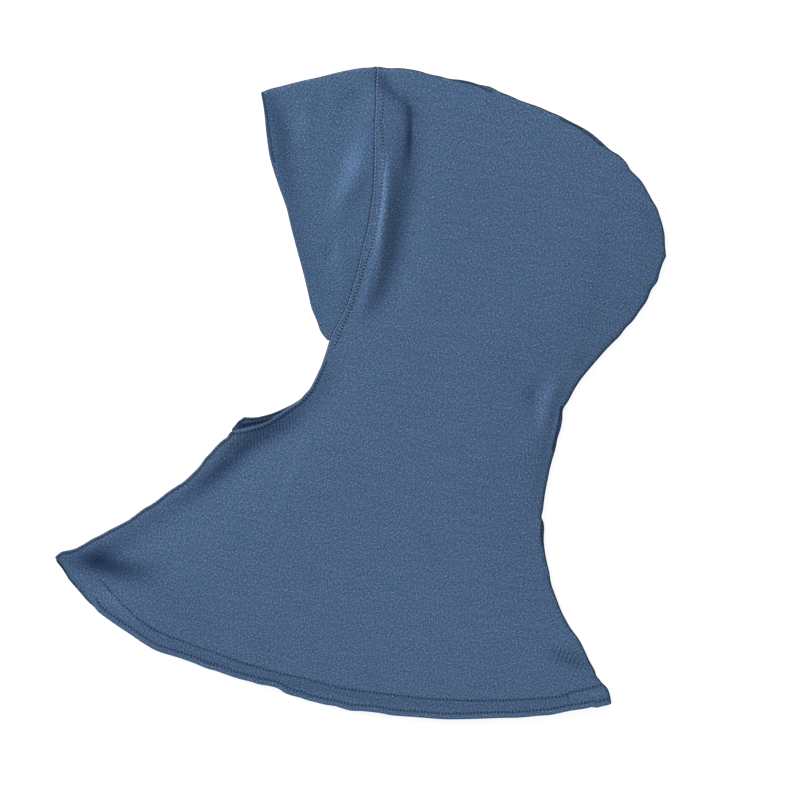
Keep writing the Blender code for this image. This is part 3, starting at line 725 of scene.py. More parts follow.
def mesh_piece(
    name: str,
    points: np.ndarray,
    faces: np.ndarray,
    material: bpy.types.Material,
    marks: Mapping[str, np.ndarray] | None = None,
    thickness: float | None = None,
) -> bpy.types.Object:
    """Make an object from vertices and faces.

    Args:
        name: Name of the object.
        points: Vertices, as rows of x, y and z.
        faces: Four vertex numbers for each face.
        material: Finish of the piece.
        marks: Numbers on the vertices that the finish reads, by name.
        thickness: Thickness of the cloth, or None for a closed shape.

    Returns:
        The object, linked to the scene.
    """
    mesh = bpy.data.meshes.new(name)
    mesh.from_pydata(points.reshape(-1, 3).tolist(), [], faces.tolist())
    for mark, values in (marks or {}).items():
        attribute = mesh.attributes.new(mark, "FLOAT", "POINT")
        attribute.data.foreach_set("value", values.astype(np.float32).ravel())
    cleaned = bmesh.new()
    cleaned.from_mesh(mesh)
    bmesh.ops.remove_doubles(cleaned, verts=cleaned.verts, dist=MERGE_DISTANCE)
    if thickness is None:
        bmesh.ops.recalc_face_normals(cleaned, faces=cleaned.faces)
    cleaned.to_mesh(mesh)
    cleaned.free()
    mesh.materials.append(material)
    mesh.shade_smooth()
    piece = bpy.data.objects.new(name, mesh)
    bpy.context.scene.collection.objects.link(piece)
    if thickness is not None:
        wall = piece.modifiers.new("thickness", "SOLIDIFY")
        wall.thickness = thickness
        wall.offset = 0.0
    return piece


class Socket:
    """A value that varies over a surface, with arithmetic that adds its own nodes."""

    def __init__(self, graph: Graph, output: bpy.types.NodeSocket) -> None:
        """Wrap the output of a node."""
        self.graph = graph
        self.output = output

    def __add__(self, other: Socket | float) -> Socket:
        """Add."""
        return self.graph.math("ADD", self, other)

    __radd__ = __add__

    def __mul__(self, other: Socket | float) -> Socket:
        """Multiply."""
        return self.graph.math("MULTIPLY", self, other)

    __rmul__ = __mul__

    def __sub__(self, other: Socket | float) -> Socket:
        """Subtract a value."""
        return self.graph.math("SUBTRACT", self, other)

    def __rsub__(self, other: Socket | float) -> Socket:
        """Subtract from a value."""
        return self.graph.math("SUBTRACT", other, self)

    def __abs__(self) -> Socket:
        """Drop the sign."""
        return self.graph.math("ABSOLUTE", self)

    def cosine(self) -> Socket:
        """Take the cosine."""
        return self.graph.math("COSINE", self)

    def between(self, low: float, high: float) -> Socket:
        """Rise smoothly from 0 at low to 1 at high."""
        values = {"Value": self, "From Min": low, "From Max": high}
        return self.graph.node("ShaderNodeMapRange", {"interpolation_type": "SMOOTHSTEP"}, values)


class Graph:
    """The nodes of one material."""

    def __init__(self, name: str) -> None:
        """Start a material.

        Args:
            name: Name of the material.
        """
        self.material = bpy.data.materials.new(name)
        self.material.use_nodes = True
        self.tree = self.material.node_tree
        self.shader = self.tree.nodes["Principled BSDF"]

    def join(self, socket: bpy.types.NodeSocket, value: object) -> None:
        """Link a value to an input, or write it there.

        Args:
            socket: The input.
            value: A link, or a plain value.
        """
        if isinstance(value, Socket):
            self.tree.links.new(value.output, socket)
        else:
            socket.default_value = value

    def node(
        self,
        kind: str,
        settings: Mapping[str, object] | None = None,
        inputs: Mapping[str | int, object] | None = None,
        output: str | int = 0,
    ) -> Socket:
        """Add a node.

        Args:
            kind: Blender's name of the node's type.
            settings: Properties that are set first.
            inputs: Values or links of its inputs, by name or number.
            output: Name or number of the output that is given back.

        Returns:
            The output, ready for arithmetic.
        """
        added = self.tree.nodes.new(kind)
        for key, value in (settings or {}).items():
            setattr(added, key, value)
        for key, value in (inputs or {}).items():
            self.join(added.inputs[key], value)
        return Socket(self, added.outputs[output])

    def math(self, operation: str, *values: Socket | float) -> Socket:
        """Add a Math node.

        Args:
            operation: Blender's name of the operation.
            values: Its operands.

        Returns:
            The result.
        """
        return self.node("ShaderNodeMath", {"operation": operation}, dict(enumerate(values)))

    def mark(self, name: str) -> Socket:
        """Read a number that the mesh carries on its vertices."""
        return self.node("ShaderNodeAttribute", {"attribute_name": name}, output="Fac")

    def place(self) -> Socket:
        """Read the place on the piece, in metres."""
        return self.node("ShaderNodeTexCoord", output="Object")

    def noise(
        self,
        place: Socket,
        cells: tuple[float, float],
        turn: float = 0.0,
        tilt: float = 0.0,
        detail: float = 0.0,
    ) -> Socket:
        """Add a cloudy pattern from 0 to 1, which is flat and lies across the cloth.

        Args:
            place: Place on the piece.
            cells: Cells for each metre along the pattern's own x and y.
            turn: Turn about the vertical, in degrees.
            tilt: Tilt of the pattern, in degrees, which lets it change on upright edges too.
            detail: How many finer layers are added.

        Returns:
            The pattern.
        """
        rotation = (math.radians(tilt), 0.0, math.radians(turn))
        values = {"Vector": place, "Rotation": rotation}
        turned = self.node("ShaderNodeMapping", {"vector_type": "TEXTURE"}, values)
        sizes = {0: turned, 1: (*cells, 1.0)}
        scaled = self.node("ShaderNodeVectorMath", {"operation": "MULTIPLY"}, sizes)
        values = {"Vector": scaled, "Scale": 1.0, "Detail": detail}
        return self.node("ShaderNodeTexNoise", {"noise_dimensions": "2D"}, values)

    def wave(self, place: Socket, pitch: float, turn: float) -> Socket:
        """Add even stripes: the cosine of the distance across them over their pitch.

        Args:
            place: Place on the piece.
            pitch: Distance from stripe to stripe, in metres.
            turn: Direction across the stripes, in degrees from x.

        Returns:
            A wave from -1 to 1.
        """
        angle = math.radians(turn)
        across = {0: place, 1: (math.cos(angle), math.sin(angle), 0.0)}
        distance = self.node("ShaderNodeVectorMath", {"operation": "DOT_PRODUCT"}, across, "Value")
        return (distance * (2 * math.pi / pitch)).cosine()

    def mixed(self, share: Socket, first: object, second: object) -> Socket:
        """Mix two colours.

        Args:
            share: Share of the second colour.
            first: First colour, or a link.
            second: Second colour, or a link.

        Returns:
            The mixed colour.
        """
        return self.node("ShaderNodeMix", {"data_type": "RGBA"}, {0: share, 6: first, 7: second}, 2)

    def scaled(self, colour: Socket, factor: Socket) -> Socket:
        """Make a colour lighter or darker by a factor."""
        return self.node("ShaderNodeVectorMath", {"operation": "SCALE"}, {0: colour, "Scale": factor})

    def finish(
        self, colour: Socket, roughness: Socket, height: Socket, relief: float
    ) -> bpy.types.Material:
        """Feed the shader.

        Args:
            colour: Base colour.
            roughness: Roughness.
            height: Height of the fine relief.
            relief: Depth in metres of a relief of 1.

        Returns:
            The finished material.
        """
        self.join(self.shader.inputs["Base Color"], colour)
        self.join(self.shader.inputs["Roughness"], roughness)
        bump = self.node("ShaderNodeBump", None, {"Height": height, "Distance": relief, "Strength": 1.0})
        self.join(self.shader.inputs["Normal"], bump)
        self.shader.inputs["Metallic"].default_value = 0.0
        self.shader.inputs["Specular IOR Level"].default_value = 0.06
        return self.material


def linear(colour: Colour, light: float = 1.0) -> tuple[float, float, float, float]:
    """Turn a colour of 0 to 255 a channel into linear values, less the light that falls on it.

    Args:
        colour: Red, green and blue.
        light: Brightness of the light, by which the values are divided.

    Returns:
        Red, green, blue and opacity.
    """
    channels = np.array(colour) / 255
    values = np.where(channels <= 0.04045, channels / 12.92, ((channels + 0.055) / 1.055) ** 2.4)
    return (*(values / light).tolist(), 1.0)


class MarkKind(Enum):
    """What a line on the cloth looks like."""

    GROOVE = "groove"
    STITCHES = "stitches"


@dataclass(frozen=True)
class MarkGroup:
    """Painted shade along seams or stitch rows of one kind that are pressed into the cloth, as dark lines
    in the colour only.

    Attributes:
        name: Name of the group, which its numbers on the vertices carry.
        kind: Grooves or stitches.
        lines: Places of each line, and how far beside it the mark lies, in metres.
        width: Half width, in metres.
        dark: How deep the painted shade is, as a share.
        pitch: Distance from stitch to stitch, in metres.
    """

    name: str
    kind: MarkKind
    lines: tuple[tuple[np.ndarray, float], ...]
    width: float = 0.0007
    dark: float = 0.5
    pitch: float = 0.0023

    def numbers(self, points: np.ndarray) -> dict[str, np.ndarray]:
        """Measure vertices against the nearest of the lines.

        Args:
            points: Vertices, with x, y and z on the last axis.

        Returns:
            Distance from the line and along it, by the names that the finish reads.
        """
        measured = [(beside(points[..., :2], line), inset) for line, inset in self.lines]
        gaps = np.stack([np.abs(gap) - inset for (gap, _), inset in measured])
        alongs = np.stack(
            [
                along * self.even_share(line)
                for ((_, along), _), (line, _) in zip(measured, self.lines)
            ]
        )
        best = np.abs(gaps).argmin(axis=0)[None]
        return {
            f"{self.name}_gap": np.take_along_axis(gaps, best, axis=0)[0],
            f"{self.name}_along": np.take_along_axis(alongs, best, axis=0)[0],
        }

    def even_share(self, line: np.ndarray) -> float:
        """Give the factor that makes a whole number of stitches fit on a line."""
        whole = distances_along(line)[-1]
        return max(int(whole / self.pitch), 1) * self.pitch / whole

    def depth(self, graph: Graph) -> Socket:
        """Draw the lines of painted shade: one minus the rise of the distance, times the beat of the
        stitches.

        Args:
            graph: Nodes of the cloth.

        Returns:
            1 in the line or in a needle hole, 0 elsewhere.
        """
        near = 1.0 - abs(graph.mark(f"{self.name}_gap")).between(0.3 * self.width, self.width)
        if self.kind is MarkKind.GROOVE:
            return near
        beat = (graph.mark(f"{self.name}_along") * (2 * math.pi / self.pitch)).cosine()
        return near * (0.3 + 0.7 * beat.between(-0.2, 0.7))


@dataclass(frozen=True)
class Pucker:
    """A patch of fine even ripples, drawn only as painted shade in their hollows.

    Attributes:
        name: Name of its number on the vertices.
        path: Places along its middle, with its strength at each.
        reach: Half width of the patch, in millimetres.
        pitch: Distance from ripple to ripple, in metres.
        turn: Direction across the ripples, in degrees from x.
        dark: How much darker the hollows are, as a share.
    """

    name: str
    path: Ridge
    reach: float
    pitch: float
    # dark: How deep the painted shade in the hollows is, as a share.
    turn: float
    dark: float

    def numbers(self, points: np.ndarray) -> dict[str, np.ndarray]:
        """Give each vertex its share of the patch."""
        spread_out = Fold(self.path, self.reach, self.reach)
        return {self.name: spread_out.lift(points[..., :2]) / MM}

    def depth(self, graph: Graph, place: Socket) -> Socket:
        """Draw the painted shade of the ripples: the patch's share times half of one minus their wave."""
        return graph.mark(self.name) * (0.5 - 0.5 * graph.wave(place, self.pitch, self.turn))


@dataclass(frozen=True)
class JerseyFinish:
    """Melange jersey: dark and light fibres in fine specks, over a close knit.

    Attributes:
        name: Name of the material.
        shade: Mean colour as it looks in the light, 0 to 255.
        light: Brightness of the light that the shade is seen in.
        melange: Half range of the specks, as a share.
        cloud: Half range of the broad variation, as a share.
        relief: Depth of the knit, in metres.
        fibres: Specks for each metre along and across a fibre.
        fibre_turns: Directions of the two fibre patterns, in degrees.
        fibre_tilt: Tilt of both, in degrees.
        yarns: Broad clouds for each metre along and across the knit's rows.
        yarn_turn: Direction of the knit's rows, in degrees.
        pale_share: Share of pale fibre in the lightest specks.
        painted_tones: Painted light and shade along the folds, laid into its colour.
        marks: Painted shade along the seams and stitch rows on the piece.
        puckers: Painted shade of fine ripples on the piece.
    """

    name: str
    shade: Colour
    light: float = 1.25
    melange: float = 0.46
    cloud: float = 0.08
    relief: float = 0.00030
    fibres: tuple[float, float] = (1500.0, 1050.0)
    fibre_turns: tuple[float, float] = (32.0, -38.0)
    fibre_tilt: float = 35.0
    yarns: tuple[float, float] = (40.0, 320.0)
    yarn_turn: float = -9.0
    pale_share: float = 0.35
    painted_tones: tuple[Fold, ...] = ()
    marks: tuple[MarkGroup, ...] = ()
    puckers: tuple[Pucker, ...] = ()

    def numbers(self, points: np.ndarray) -> dict[str, np.ndarray]:
        """Work out all numbers on the vertices that the finish reads.

        Args:
            points: Vertices, with x, y and z on the last axis.

        Returns:
            The numbers by name.
        """
        found: dict[str, np.ndarray] = {}
        for detail in self.marks + self.puckers:
            found.update(detail.numbers(points))
        # Shares of painted light and shade along the folds
        if self.painted_tones:
            found["painted_tone"] = sum(painted_tone.lift(points[..., :2]) for painted_tone in self.painted_tones) / MM
        return found

    def material(self) -> bpy.types.Material:
        """Build the material.

        The specks are the sum of two cloudy patterns turned against each other. Colour is the
        shade times one plus specks and clouds, less the painted shade of each mark and pucker, then with
        the painted light and shade of the tones.

        Returns:
            The finished material.
        """
        graph = Graph(self.name)
        place = graph.place()
        left, right = (graph.noise(place, self.fibres, turn, self.fibre_tilt) for turn in self.fibre_turns)
        specks = (left + right) - 1.0
        clouds = graph.noise(place, self.yarns, self.yarn_turn, detail=1.0) - 0.5
        red, green, blue, _ = linear(self.shade, self.light)
        cool = (red * 0.97, green * 1.008, blue, 1.0)
        violet = (red * 1.03, green * 0.992, blue, 1.0)
        brightness = graph.math("EXPONENT", specks * (2 * self.melange) + clouds * (2 * self.cloud))
        # Painted shade along the seams and stitch rows, and in the hollows of the ripples
        for detail in self.marks:
            brightness = brightness * (1.0 - detail.depth(graph) * detail.dark)
        for pucker in self.puckers:
            brightness = brightness * (1.0 - pucker.depth(graph, place) * pucker.dark)
        brightness = graph.math("MAXIMUM", brightness, 0.1)
        colour = graph.mixed(clouds.between(-0.12, 0.12), cool, violet)
        colour = graph.mixed(graph.math("MAXIMUM", specks, 0.0) * self.pale_share, colour, PALE_FIBRE)
        # Painted light and shade: a positive tone lightens the colour as a painted highlight, a negative
        # one mixes in DEEP_SHADE as painted shade
        if self.painted_tones:
            painted_tone = graph.mark("painted_tone")
            lit = graph.math("MAXIMUM", painted_tone, 0.0)
            painted_shade = graph.math("MAXIMUM", 0.0 - painted_tone, 0.0)
            colour = graph.scaled(colour, brightness * (1.0 + lit))
            colour = graph.mixed(painted_shade, colour, DEEP_SHADE)
        else:
            colour = graph.scaled(colour, brightness)
        return graph.finish(colour, 0.86 + specks * 0.12, specks, self.relief)


@dataclass(frozen=True)
class ThreadFinish:
    """Spun sewing thread.

    Attributes:
        name: Name of the material.
        shade: Mean colour as it looks in the light, 0 to 255.
        light: Brightness of the light that the shade is seen in.
    """

    name: str
    shade: Colour
    light: float = 1.25

    def material(self) -> bpy.types.Material:
        """Build the material: the shade times one plus the twist's stripes and a little cloud.

        Returns:
            The finished material.
        """
        graph = Graph(self.name)
        place = graph.place()
        twist = graph.wave(place, 0.00035, 35.0)
        cloud = graph.noise(place, (500.0, 500.0), tilt=35.0)
        brightness = 0.88 + twist * 0.08 + cloud * 0.24
        base = graph.mixed(cloud, linear(self.shade, self.light), linear(self.shade, 1.15 * self.light))
        return graph.finish(graph.scaled(base, brightness), 0.62 + cloud * 0.2, twist, 0.00004)


@dataclass
class StitchRow:
    """A row of single stitches: short arched beads of thread whose ends dive into the cloth.

    Attributes:
        name: Name of the piece.
        line: Places of the row, in metres.
        layer: Layer that it is sewn through.
        above: Height of the cloth's surface over the middle of the layer, in metres.
        pitch: Distance from stitch to stitch.
        length: Length of one stitch, as a share of the pitch.
        radius: Radius of the thread.
        shift: Distance of the stitches from the row, to its left.
    """

    name: str
    line: np.ndarray
    layer: HoodLayer
    above: float
    pitch: float = 0.0023
    length: float = 0.62
    radius: float = 0.00030
    shift: float = 0.0

    def build(self, material: bpy.types.Material) -> bpy.types.Object:
        """Make all stitches of the row as one mesh.

        A station's place is the middle of the stitch plus its share of the half length along it.
        Its height is that of the cloth plus an arch, one minus the share to the fourth power.

        Args:
            material: Finish of the thread.

        Returns:
            The row.
        """
        line = shifted(self.line, self.shift)
        whole = distances_along(line)[-1]
        count = int(whole / self.pitch)
        middles = (np.arange(count) + 0.5) / count
        spots = at_share(line, middles)
        ahead = at_share(line, np.minimum(middles + 0.2 * self.pitch / whole, 1.0)) - spots
        along = ahead / np.linalg.norm(ahead, axis=1, keepdims=True)
        across = np.column_stack([-along[:, 1], along[:, 0]])
        stations = np.array([-1.0, -0.82, -0.4, 0.4, 0.82, 1.0])
        girth = np.array([0.0, 0.75, 1.0, 1.0, 0.75, 0.0]) * self.radius
        half = self.length * self.pitch / 2
        path = spots[:, None] + along[:, None] * (stations * half)[None, :, None]
        sign = 1.0 if self.above > 0 else -1.0
        arch = sign * self.radius * (0.7 - 1.6 * stations**4)
        height = self.layer.height(path) + self.above + arch
        angle = np.linspace(0.0, 2 * math.pi, THREAD_SIDES, endpoint=False)
        level = (np.cos(angle) * girth[:, None])[None, ..., None] * across[:, None, None, :]
        ring_xy = path[:, :, None, :] + level
        ring_z = height[:, :, None] + (np.sin(angle) * girth[:, None])[None]
        points = np.concatenate([ring_xy, ring_z[..., None]], axis=-1)
        single = grid_faces(len(stations), len(angle), ring=True)
        faces = single[None] + (np.arange(count) * len(stations) * len(angle))[:, None, None]
        return mesh_piece(self.name, points, faces.reshape(-1, 4), material)


@dataclass
class OverlockRow:
    """A zigzag of thread over a raw edge, as a tube carried along a wave.

    Attributes:
        name: Name of the piece.
        line: Places of the raw edge, in metres.
        layer: Layer that it is sewn on.
        above: Height of the thread over the middle of the layer.
        inset: How far inside the hollow the sewn cloth lies.
        swing: Half width of the zigzag.
        pitch: Length of one zig and zag.
        radius: Radius of the thread.
    """

    name: str
    line: np.ndarray
    layer: HoodLayer
    above: float
    inset: float
    swing: float = 0.0011
    pitch: float = 0.0024
    radius: float = 0.00030

    def build(self, material: bpy.types.Material) -> bpy.types.Object:
        """Make the zigzag: the edge plus its normal times a triangle wave, as a closed tube.

        Args:
            material: Finish of the thread.

        Returns:
            The tube.
        """
        whole = distances_along(self.line)[-1]
        count = int(whole / self.pitch) * 6
        share = np.linspace(0.0, 1.0, count + 1)
        base = at_share(self.line, share)
        beat = share * whole / self.pitch
        swing = self.swing * np.arcsin(0.97 * np.sin(2 * math.pi * beat)) * 2 / math.pi
        path = base + left_normals(base) * swing[:, None]
        side = left_normals(path)
        lift = self.above + 0.3 * self.radius * np.cos(4 * math.pi * beat)
        height = self.layer.height(path, self.inset) + lift
        angle = np.linspace(0.0, 2 * math.pi, THREAD_SIDES, endpoint=False)
        girth = np.full(count + 1, self.radius)
        girth[[0, -1]] = 0.0
        xy = path[:, None] + (np.cos(angle) * girth[:, None])[..., None] * side[:, None]
        z = height[:, None] + np.sin(angle) * girth[:, None]
        points = np.concatenate([xy, z[..., None]], axis=-1)
        return mesh_piece(self.name, points, grid_faces(count + 1, len(angle), ring=True), material)


@dataclass
class SidePanel:
    """A side panel of the hood, whose closed edges roll under and whose open edges are turned in.

    Attributes:
        name: Name of the piece.
        layer: Its layer.
        columns: Even columns of its net.
        face_rows: Even rows of its net down to the chin.
        throat_rows: Even rows from the chin to the hem.
        steps: Distances of the outer lines of the net from its edge, in millimetres.
        turn: Radius of the turned open edges, in metres.
        wrap: How far below the middle the near layer rolls under, in degrees.
        tuck: How far the far layer stays back from the roll, in metres.
    """

    name: str
    layer: HoodLayer
    columns: int
    face_rows: int
    throat_rows: int
    steps: tuple[float, ...] = (0.0, 0.4, 0.9, 1.5, 2.3, 3.3, 4.6, 6.2)
    turn: float = 0.00065
    wrap: float = 60.0
    tuck: float = 0.0018

    def insets(self) -> tuple[float, float, float]:
        """Work out how far the net stays inside the outlines.

        Returns:
            Its insets from the face, the closed edges and the hem, in metres.
        """
        half = self.layer.lay.cloth / 2
        if self.layer.side is Side.NEAR:
            return half + self.turn, half + self.turn, half + self.turn
        return half + self.turn, half + self.tuck, half + self.turn

    def shares(self, patch: Patch) -> tuple[np.ndarray, np.ndarray]:
        """Space the net's lines.

        Args:
            patch: Sides of the panel.

        Returns:
            Shares across and down, both as full grids.
        """
        chin = self.layer.chin
        near_chin = (0.0, 1.5)

        def down(length: np.ndarray | float) -> np.ndarray:
            """Space the rows.

            Args:
                length: Lengths of the columns, in metres.

            Returns:
                Shares of each column, one row for each.
            """
            length = np.reshape(length, (-1, 1))
            face = spread(length * chin, self.steps, self.face_rows, near_chin)
            throat = spread(length * (1 - chin), near_chin, self.throat_rows, self.steps)
            return np.hstack([face * chin, chin + throat[:, 1:] * (1 - chin)])

        row_count = down(1.0).shape[1]
        column_count = self.columns + 2 * len(self.steps)
        u = spread(
            patch.row_lengths(np.linspace(0.0, 1.0, row_count)), self.steps, self.columns, self.steps
        )
        v = down(patch.column_lengths(np.linspace(0.0, 1.0, column_count))).T
        return u, v

    def rings(self, closed: np.ndarray) -> tuple[np.ndarray, np.ndarray]:
        """Give the turned edge, station by station, outwards and down from the net's edge.

        An open edge follows a half circle of the turn's radius. A closed edge of the near layer
        goes on round the roll's circle, and that of the far layer only thickens.

        Args:
            closed: 1 on closed edges and 0 on open ones, for each vertex of the net's edge.

        Returns:
            Outward distance and drop for each station and vertex.
        """
        half_turn = np.radians(np.array([30.0, 60.0, 90.0, 120.0, 150.0, 180.0]))
        open_out, open_down = self.turn * np.sin(half_turn), self.turn * (1 - np.cos(half_turn))
        roll = self.layer.lay.roll
        start = math.acos(1 - self.turn / roll)
        angles = np.linspace(start, -math.radians(self.wrap), len(half_turn) + 1)[1:]
        closed_out = roll * (np.cos(angles) - math.cos(start))
        closed_down = roll * (math.sin(start) - np.sin(angles))
        if self.layer.side is Side.FAR:
            closed_out = np.zeros(len(half_turn))
            closed_down = np.linspace(0.0, 0.05 * MM, len(half_turn) + 1)[1:]
        out = closed_out[:, None] * closed + open_out[:, None] * (1 - closed)
        drop = closed_down[:, None] * closed + open_down[:, None] * (1 - closed)
        return out, drop

    def surface(self) -> tuple[np.ndarray, np.ndarray]:
        """Work out the panel: the lifted net, and closed rings of points round its edge.

        Returns:
            Vertices and faces.
        """
        patch = self.layer.patch(*self.insets())
        u, v = self.shares(patch)
        net = self.layer.lifted(patch.points(u, v))
        rows, columns = net.shape[:2]
        numbers = np.arange(rows * columns).reshape(rows, columns)
        loop = np.concatenate(
            [numbers[0, :-1], numbers[:-1, -1], numbers[-1, :0:-1], numbers[:0:-1, 0]]
        )
        flat = net.reshape(-1, 3)
        edge = flat[loop]
        chin_row = int(np.argmin(np.abs(v[:, 0] - self.layer.chin)))
        closed = np.concatenate(
            [
                np.ones(columns - 1),
                np.ones(rows - 1),
                np.zeros(columns - 1),
                (np.arange(rows - 1, 0, -1) >= chin_row).astype(float),
            ]
        )
        closed = (np.roll(closed, 1) + closed + np.roll(closed, -1)) / 3
        along = np.roll(edge, -1, axis=0)[:, :2] - np.roll(edge, 1, axis=0)[:, :2]
        along /= np.linalg.norm(along, axis=1, keepdims=True)
        outward = np.column_stack([-along[:, 1], along[:, 0]])
        out, drop = self.rings(closed)
        towards = -1.0 if self.layer.side is Side.NEAR else 1.0
        ring_xy = edge[None, :, :2] + outward[None] * out[..., None]
        ring_z = edge[None, :, 2] + towards * drop
        rings = np.concatenate([ring_xy, ring_z[..., None]], axis=-1)
        count = len(loop)
        stations = np.vstack([loop, rows * columns + np.arange(len(rings) * count).reshape(-1, count)])
        following = np.roll(stations, -1, axis=1)
        strips = np.stack([following[:-1], stations[:-1], stations[1:], following[1:]], axis=-1)
        faces = np.vstack([grid_faces(rows, columns), strips.reshape(-1, 4)])
        if self.layer.side is Side.NEAR:
            faces = faces[:, ::-1]
        return np.vstack([flat, rings.reshape(-1, 3)]), faces

    def build(self, finish: JerseyFinish) -> bpy.types.Object:
        """Make the panel.

        Args:
            finish: Finish of its jersey.

        Returns:
            The panel.
        """
        points, faces = self.surface()
        marks = finish.numbers(points)
        return mesh_piece(self.name, points, faces, finish.material(), marks, self.layer.lay.cloth)


@dataclass
class ForeheadBand:
    """The crescent band: cloth folded double at its front edge, and over the crown.

    Attributes:
        near: Near layer of the hood.
        far: Far layer of the hood.
        rows: Even rows of each leaf.
        columns: Even columns of each ply.
        ply: Thickness of one ply, in metres.
        dive: Depth to which the rear edge dips into the seam.
        breadth: Usual width of the crescent, by which its columns are spaced.
        top_steps: Distances of the first rows from the folded top, in millimetres.
        rear_steps: Distances of the first columns from the rear seam, in millimetres.
        front_steps: Distances of the last columns from the folded front, in millimetres.
    """

    near: HoodLayer
    far: HoodLayer
    rows: int = 105
    columns: int = 34
    ply: float = 0.0010
    dive: float = 0.0007
    breadth: float = 0.06
    top_steps: tuple[float, ...] = (0.0, 0.25, 0.6, 1.1, 1.8, 2.8, 4.2)
    rear_steps: tuple[float, ...] = (0.0, 0.35, 0.9, 1.7)
    front_steps: tuple[float, ...] = (0.0, 0.3, 0.9)

    def leaf(self, layer: HoodLayer) -> np.ndarray:
        """Work out one leaf, from its rear seam over its folded front to the rear of its lining.

        The outer ply lies on the layer's surface and the lining one ply inside it. Between them
        runs a half circle, and the rear edge dips in a quarter circle.

        Args:
            layer: Layer of the leaf.

        Returns:
            Points in rows from the folded top to the tip.
        """
        half = layer.lay.cloth / 2
        outer = layer.band_patch(half)
        inner = layer.band_patch(half + self.ply)
        u = 1.0 - spread(self.breadth, self.rear_steps, self.columns, self.front_steps)[0]
        length = distances_along(outer.right)[-1]
        v = spread(length, self.top_steps, self.rows, (0.0, 1.5))[0][:, None]
        plies = []
        for patch, inset in ((outer, 0.0), (inner, self.ply)):
            plies.append(layer.lifted(patch.points(*np.broadcast_arrays(u[None, :], v)), inset))
        towards = -1.0 if layer.side is Side.NEAR else 1.0
        dip = self.dive * (1 - quarter_round((1.0 - u) * self.breadth / self.dive))
        plies[0][..., 2] += towards * dip
        front = plies[0][:, -1:]
        inner_front = plies[1][:, -1:]
        outward = front[..., :2] - plies[0][:, -2:-1, :2]
        outward /= np.maximum(np.linalg.norm(outward, axis=-1, keepdims=True), 1e-9)
        angle = np.radians(np.array([30.0, 60.0, 90.0, 120.0, 150.0]))
        middle, reach = (front + inner_front) / 2, (front - inner_front) / 2
        bend = middle + reach * np.cos(angle)[None, :, None]
        bend[..., :2] += outward * (self.ply / 2 * np.sin(angle))[None, :, None]
        return np.concatenate([plies[0], bend, plies[1][:, ::-1]], axis=1)

    def build(self, finish: JerseyFinish) -> bpy.types.Object:
        """Make the band: the near leaf upwards, then the far leaf downwards.

        Args:
            finish: Finish of its jersey.

        Returns:
            The band.
        """
        net = np.concatenate([self.leaf(self.near)[::-1], self.leaf(self.far)[1:]])
        marks = finish.numbers(net)
        faces = grid_faces(*net.shape[:2])
        return mesh_piece("forehead_band_cloth", net, faces, finish.material(), marks, 0.9 * self.ply)


@dataclass
class TurnedHem:
    """A strip of jersey turned inside along an open edge, in both layers.

    Attributes:
        near: Near layer of the hood.
        far: Far layer of the hood.
        width: Width of the strip, in metres.
        gap: Play between the cloths.
        stations: Rows across the strip.
        columns: Columns along it, in each layer.
    """

    near: HoodLayer
    far: HoodLayer
    width: float
    gap: float = 0.0003
    stations: int = 8
    columns: int = 220

    def inset(self) -> float:
        """Give how far inside the hollow the strip lies."""
        return self.near.lay.cloth + self.gap

    def patch(self, layer: HoodLayer) -> Patch:
        """Give the net of the strip's layer."""
        cloth = layer.lay.cloth
        return layer.patch(cloth + 2 * self.gap, cloth / 2 + self.inset(), cloth + self.gap)

    def along_face(self, layer: HoodLayer, stop: float) -> np.ndarray:
        """Work out the strip behind the face edge of one layer.

        Args:
            layer: The layer.
            stop: How far above the chin the strip ends.

        Returns:
            Points in rows from the edge inwards, and columns from the crown down.
        """
        patch = self.patch(layer)
        left = distances_along(patch.left)[-1]
        v = np.linspace(0.0, layer.chin - stop / left, self.columns)
        reach = self.width / patch.row_lengths(v)
        strip = [patch.points(share * reach, v) for share in np.linspace(0.0, 1.0, self.stations)]
        return layer.lifted(np.stack(strip), self.inset())

    def along_hem(self, layer: HoodLayer) -> np.ndarray:
        """Work out the strip along the bottom hem of one layer.

        Args:
            layer: The layer.

        Returns:
            Points in rows from the edge upwards, and columns from the front to the back.
        """
        patch = self.patch(layer)
        u = np.linspace(0.0, 1.0, self.columns)
        reach = self.width / patch.column_lengths(u)
        strip = [patch.points(u, 1 - share * reach) for share in np.linspace(0.0, 1.0, self.stations)]
        return layer.lifted(np.stack(strip), self.inset())


@dataclass
class FaceHem(TurnedHem):
    """The narrow turned hem of the face opening.

    Attributes:
        width: Width of the hem, in metres.
        columns: Columns along it, in each layer.
        stop: How far above the chin it ends, in metres.
    """

    width: float = 0.0060
    columns: int = 200
    stop: float = 0.0030

    def build(self, finish: JerseyFinish) -> bpy.types.Object:
        """Make the hem: up the near layer, over the crown and down the far one.

        Args:
            finish: Finish of its jersey.

        Returns:
            The hem.
        """
        near = self.along_face(self.near, self.stop)[:, ::-1]
        net = np.concatenate([near, self.along_face(self.far, self.stop)[:, 1:]], axis=1)
        faces = grid_faces(*net.shape[:2])
        marks = finish.numbers(net)
        return mesh_piece("face_hem_cloth", net, faces, finish.material(), marks, self.near.lay.cloth)


@dataclass
class BottomHem(TurnedHem):
    """The turned hem round the bottom of the hood.

    Attributes:
        width: Width of the hem, in metres.
    """

    width: float = 0.0120

    def build(self, finish: JerseyFinish) -> bpy.types.Object:
        """Make the hem as a ring: along the near layer, round the back and along the far one.

        Args:
            finish: Finish of its jersey.

        Returns:
            The hem.
        """
        near, far = self.along_hem(self.near), self.along_hem(self.far)
        net = np.concatenate([near, far[:, -2:0:-1]], axis=1)
        faces = grid_faces(*net.shape[:2], ring=True)
        return mesh_piece("bottom_hem_cloth", net, faces, finish.material(), None, self.near.lay.cloth)


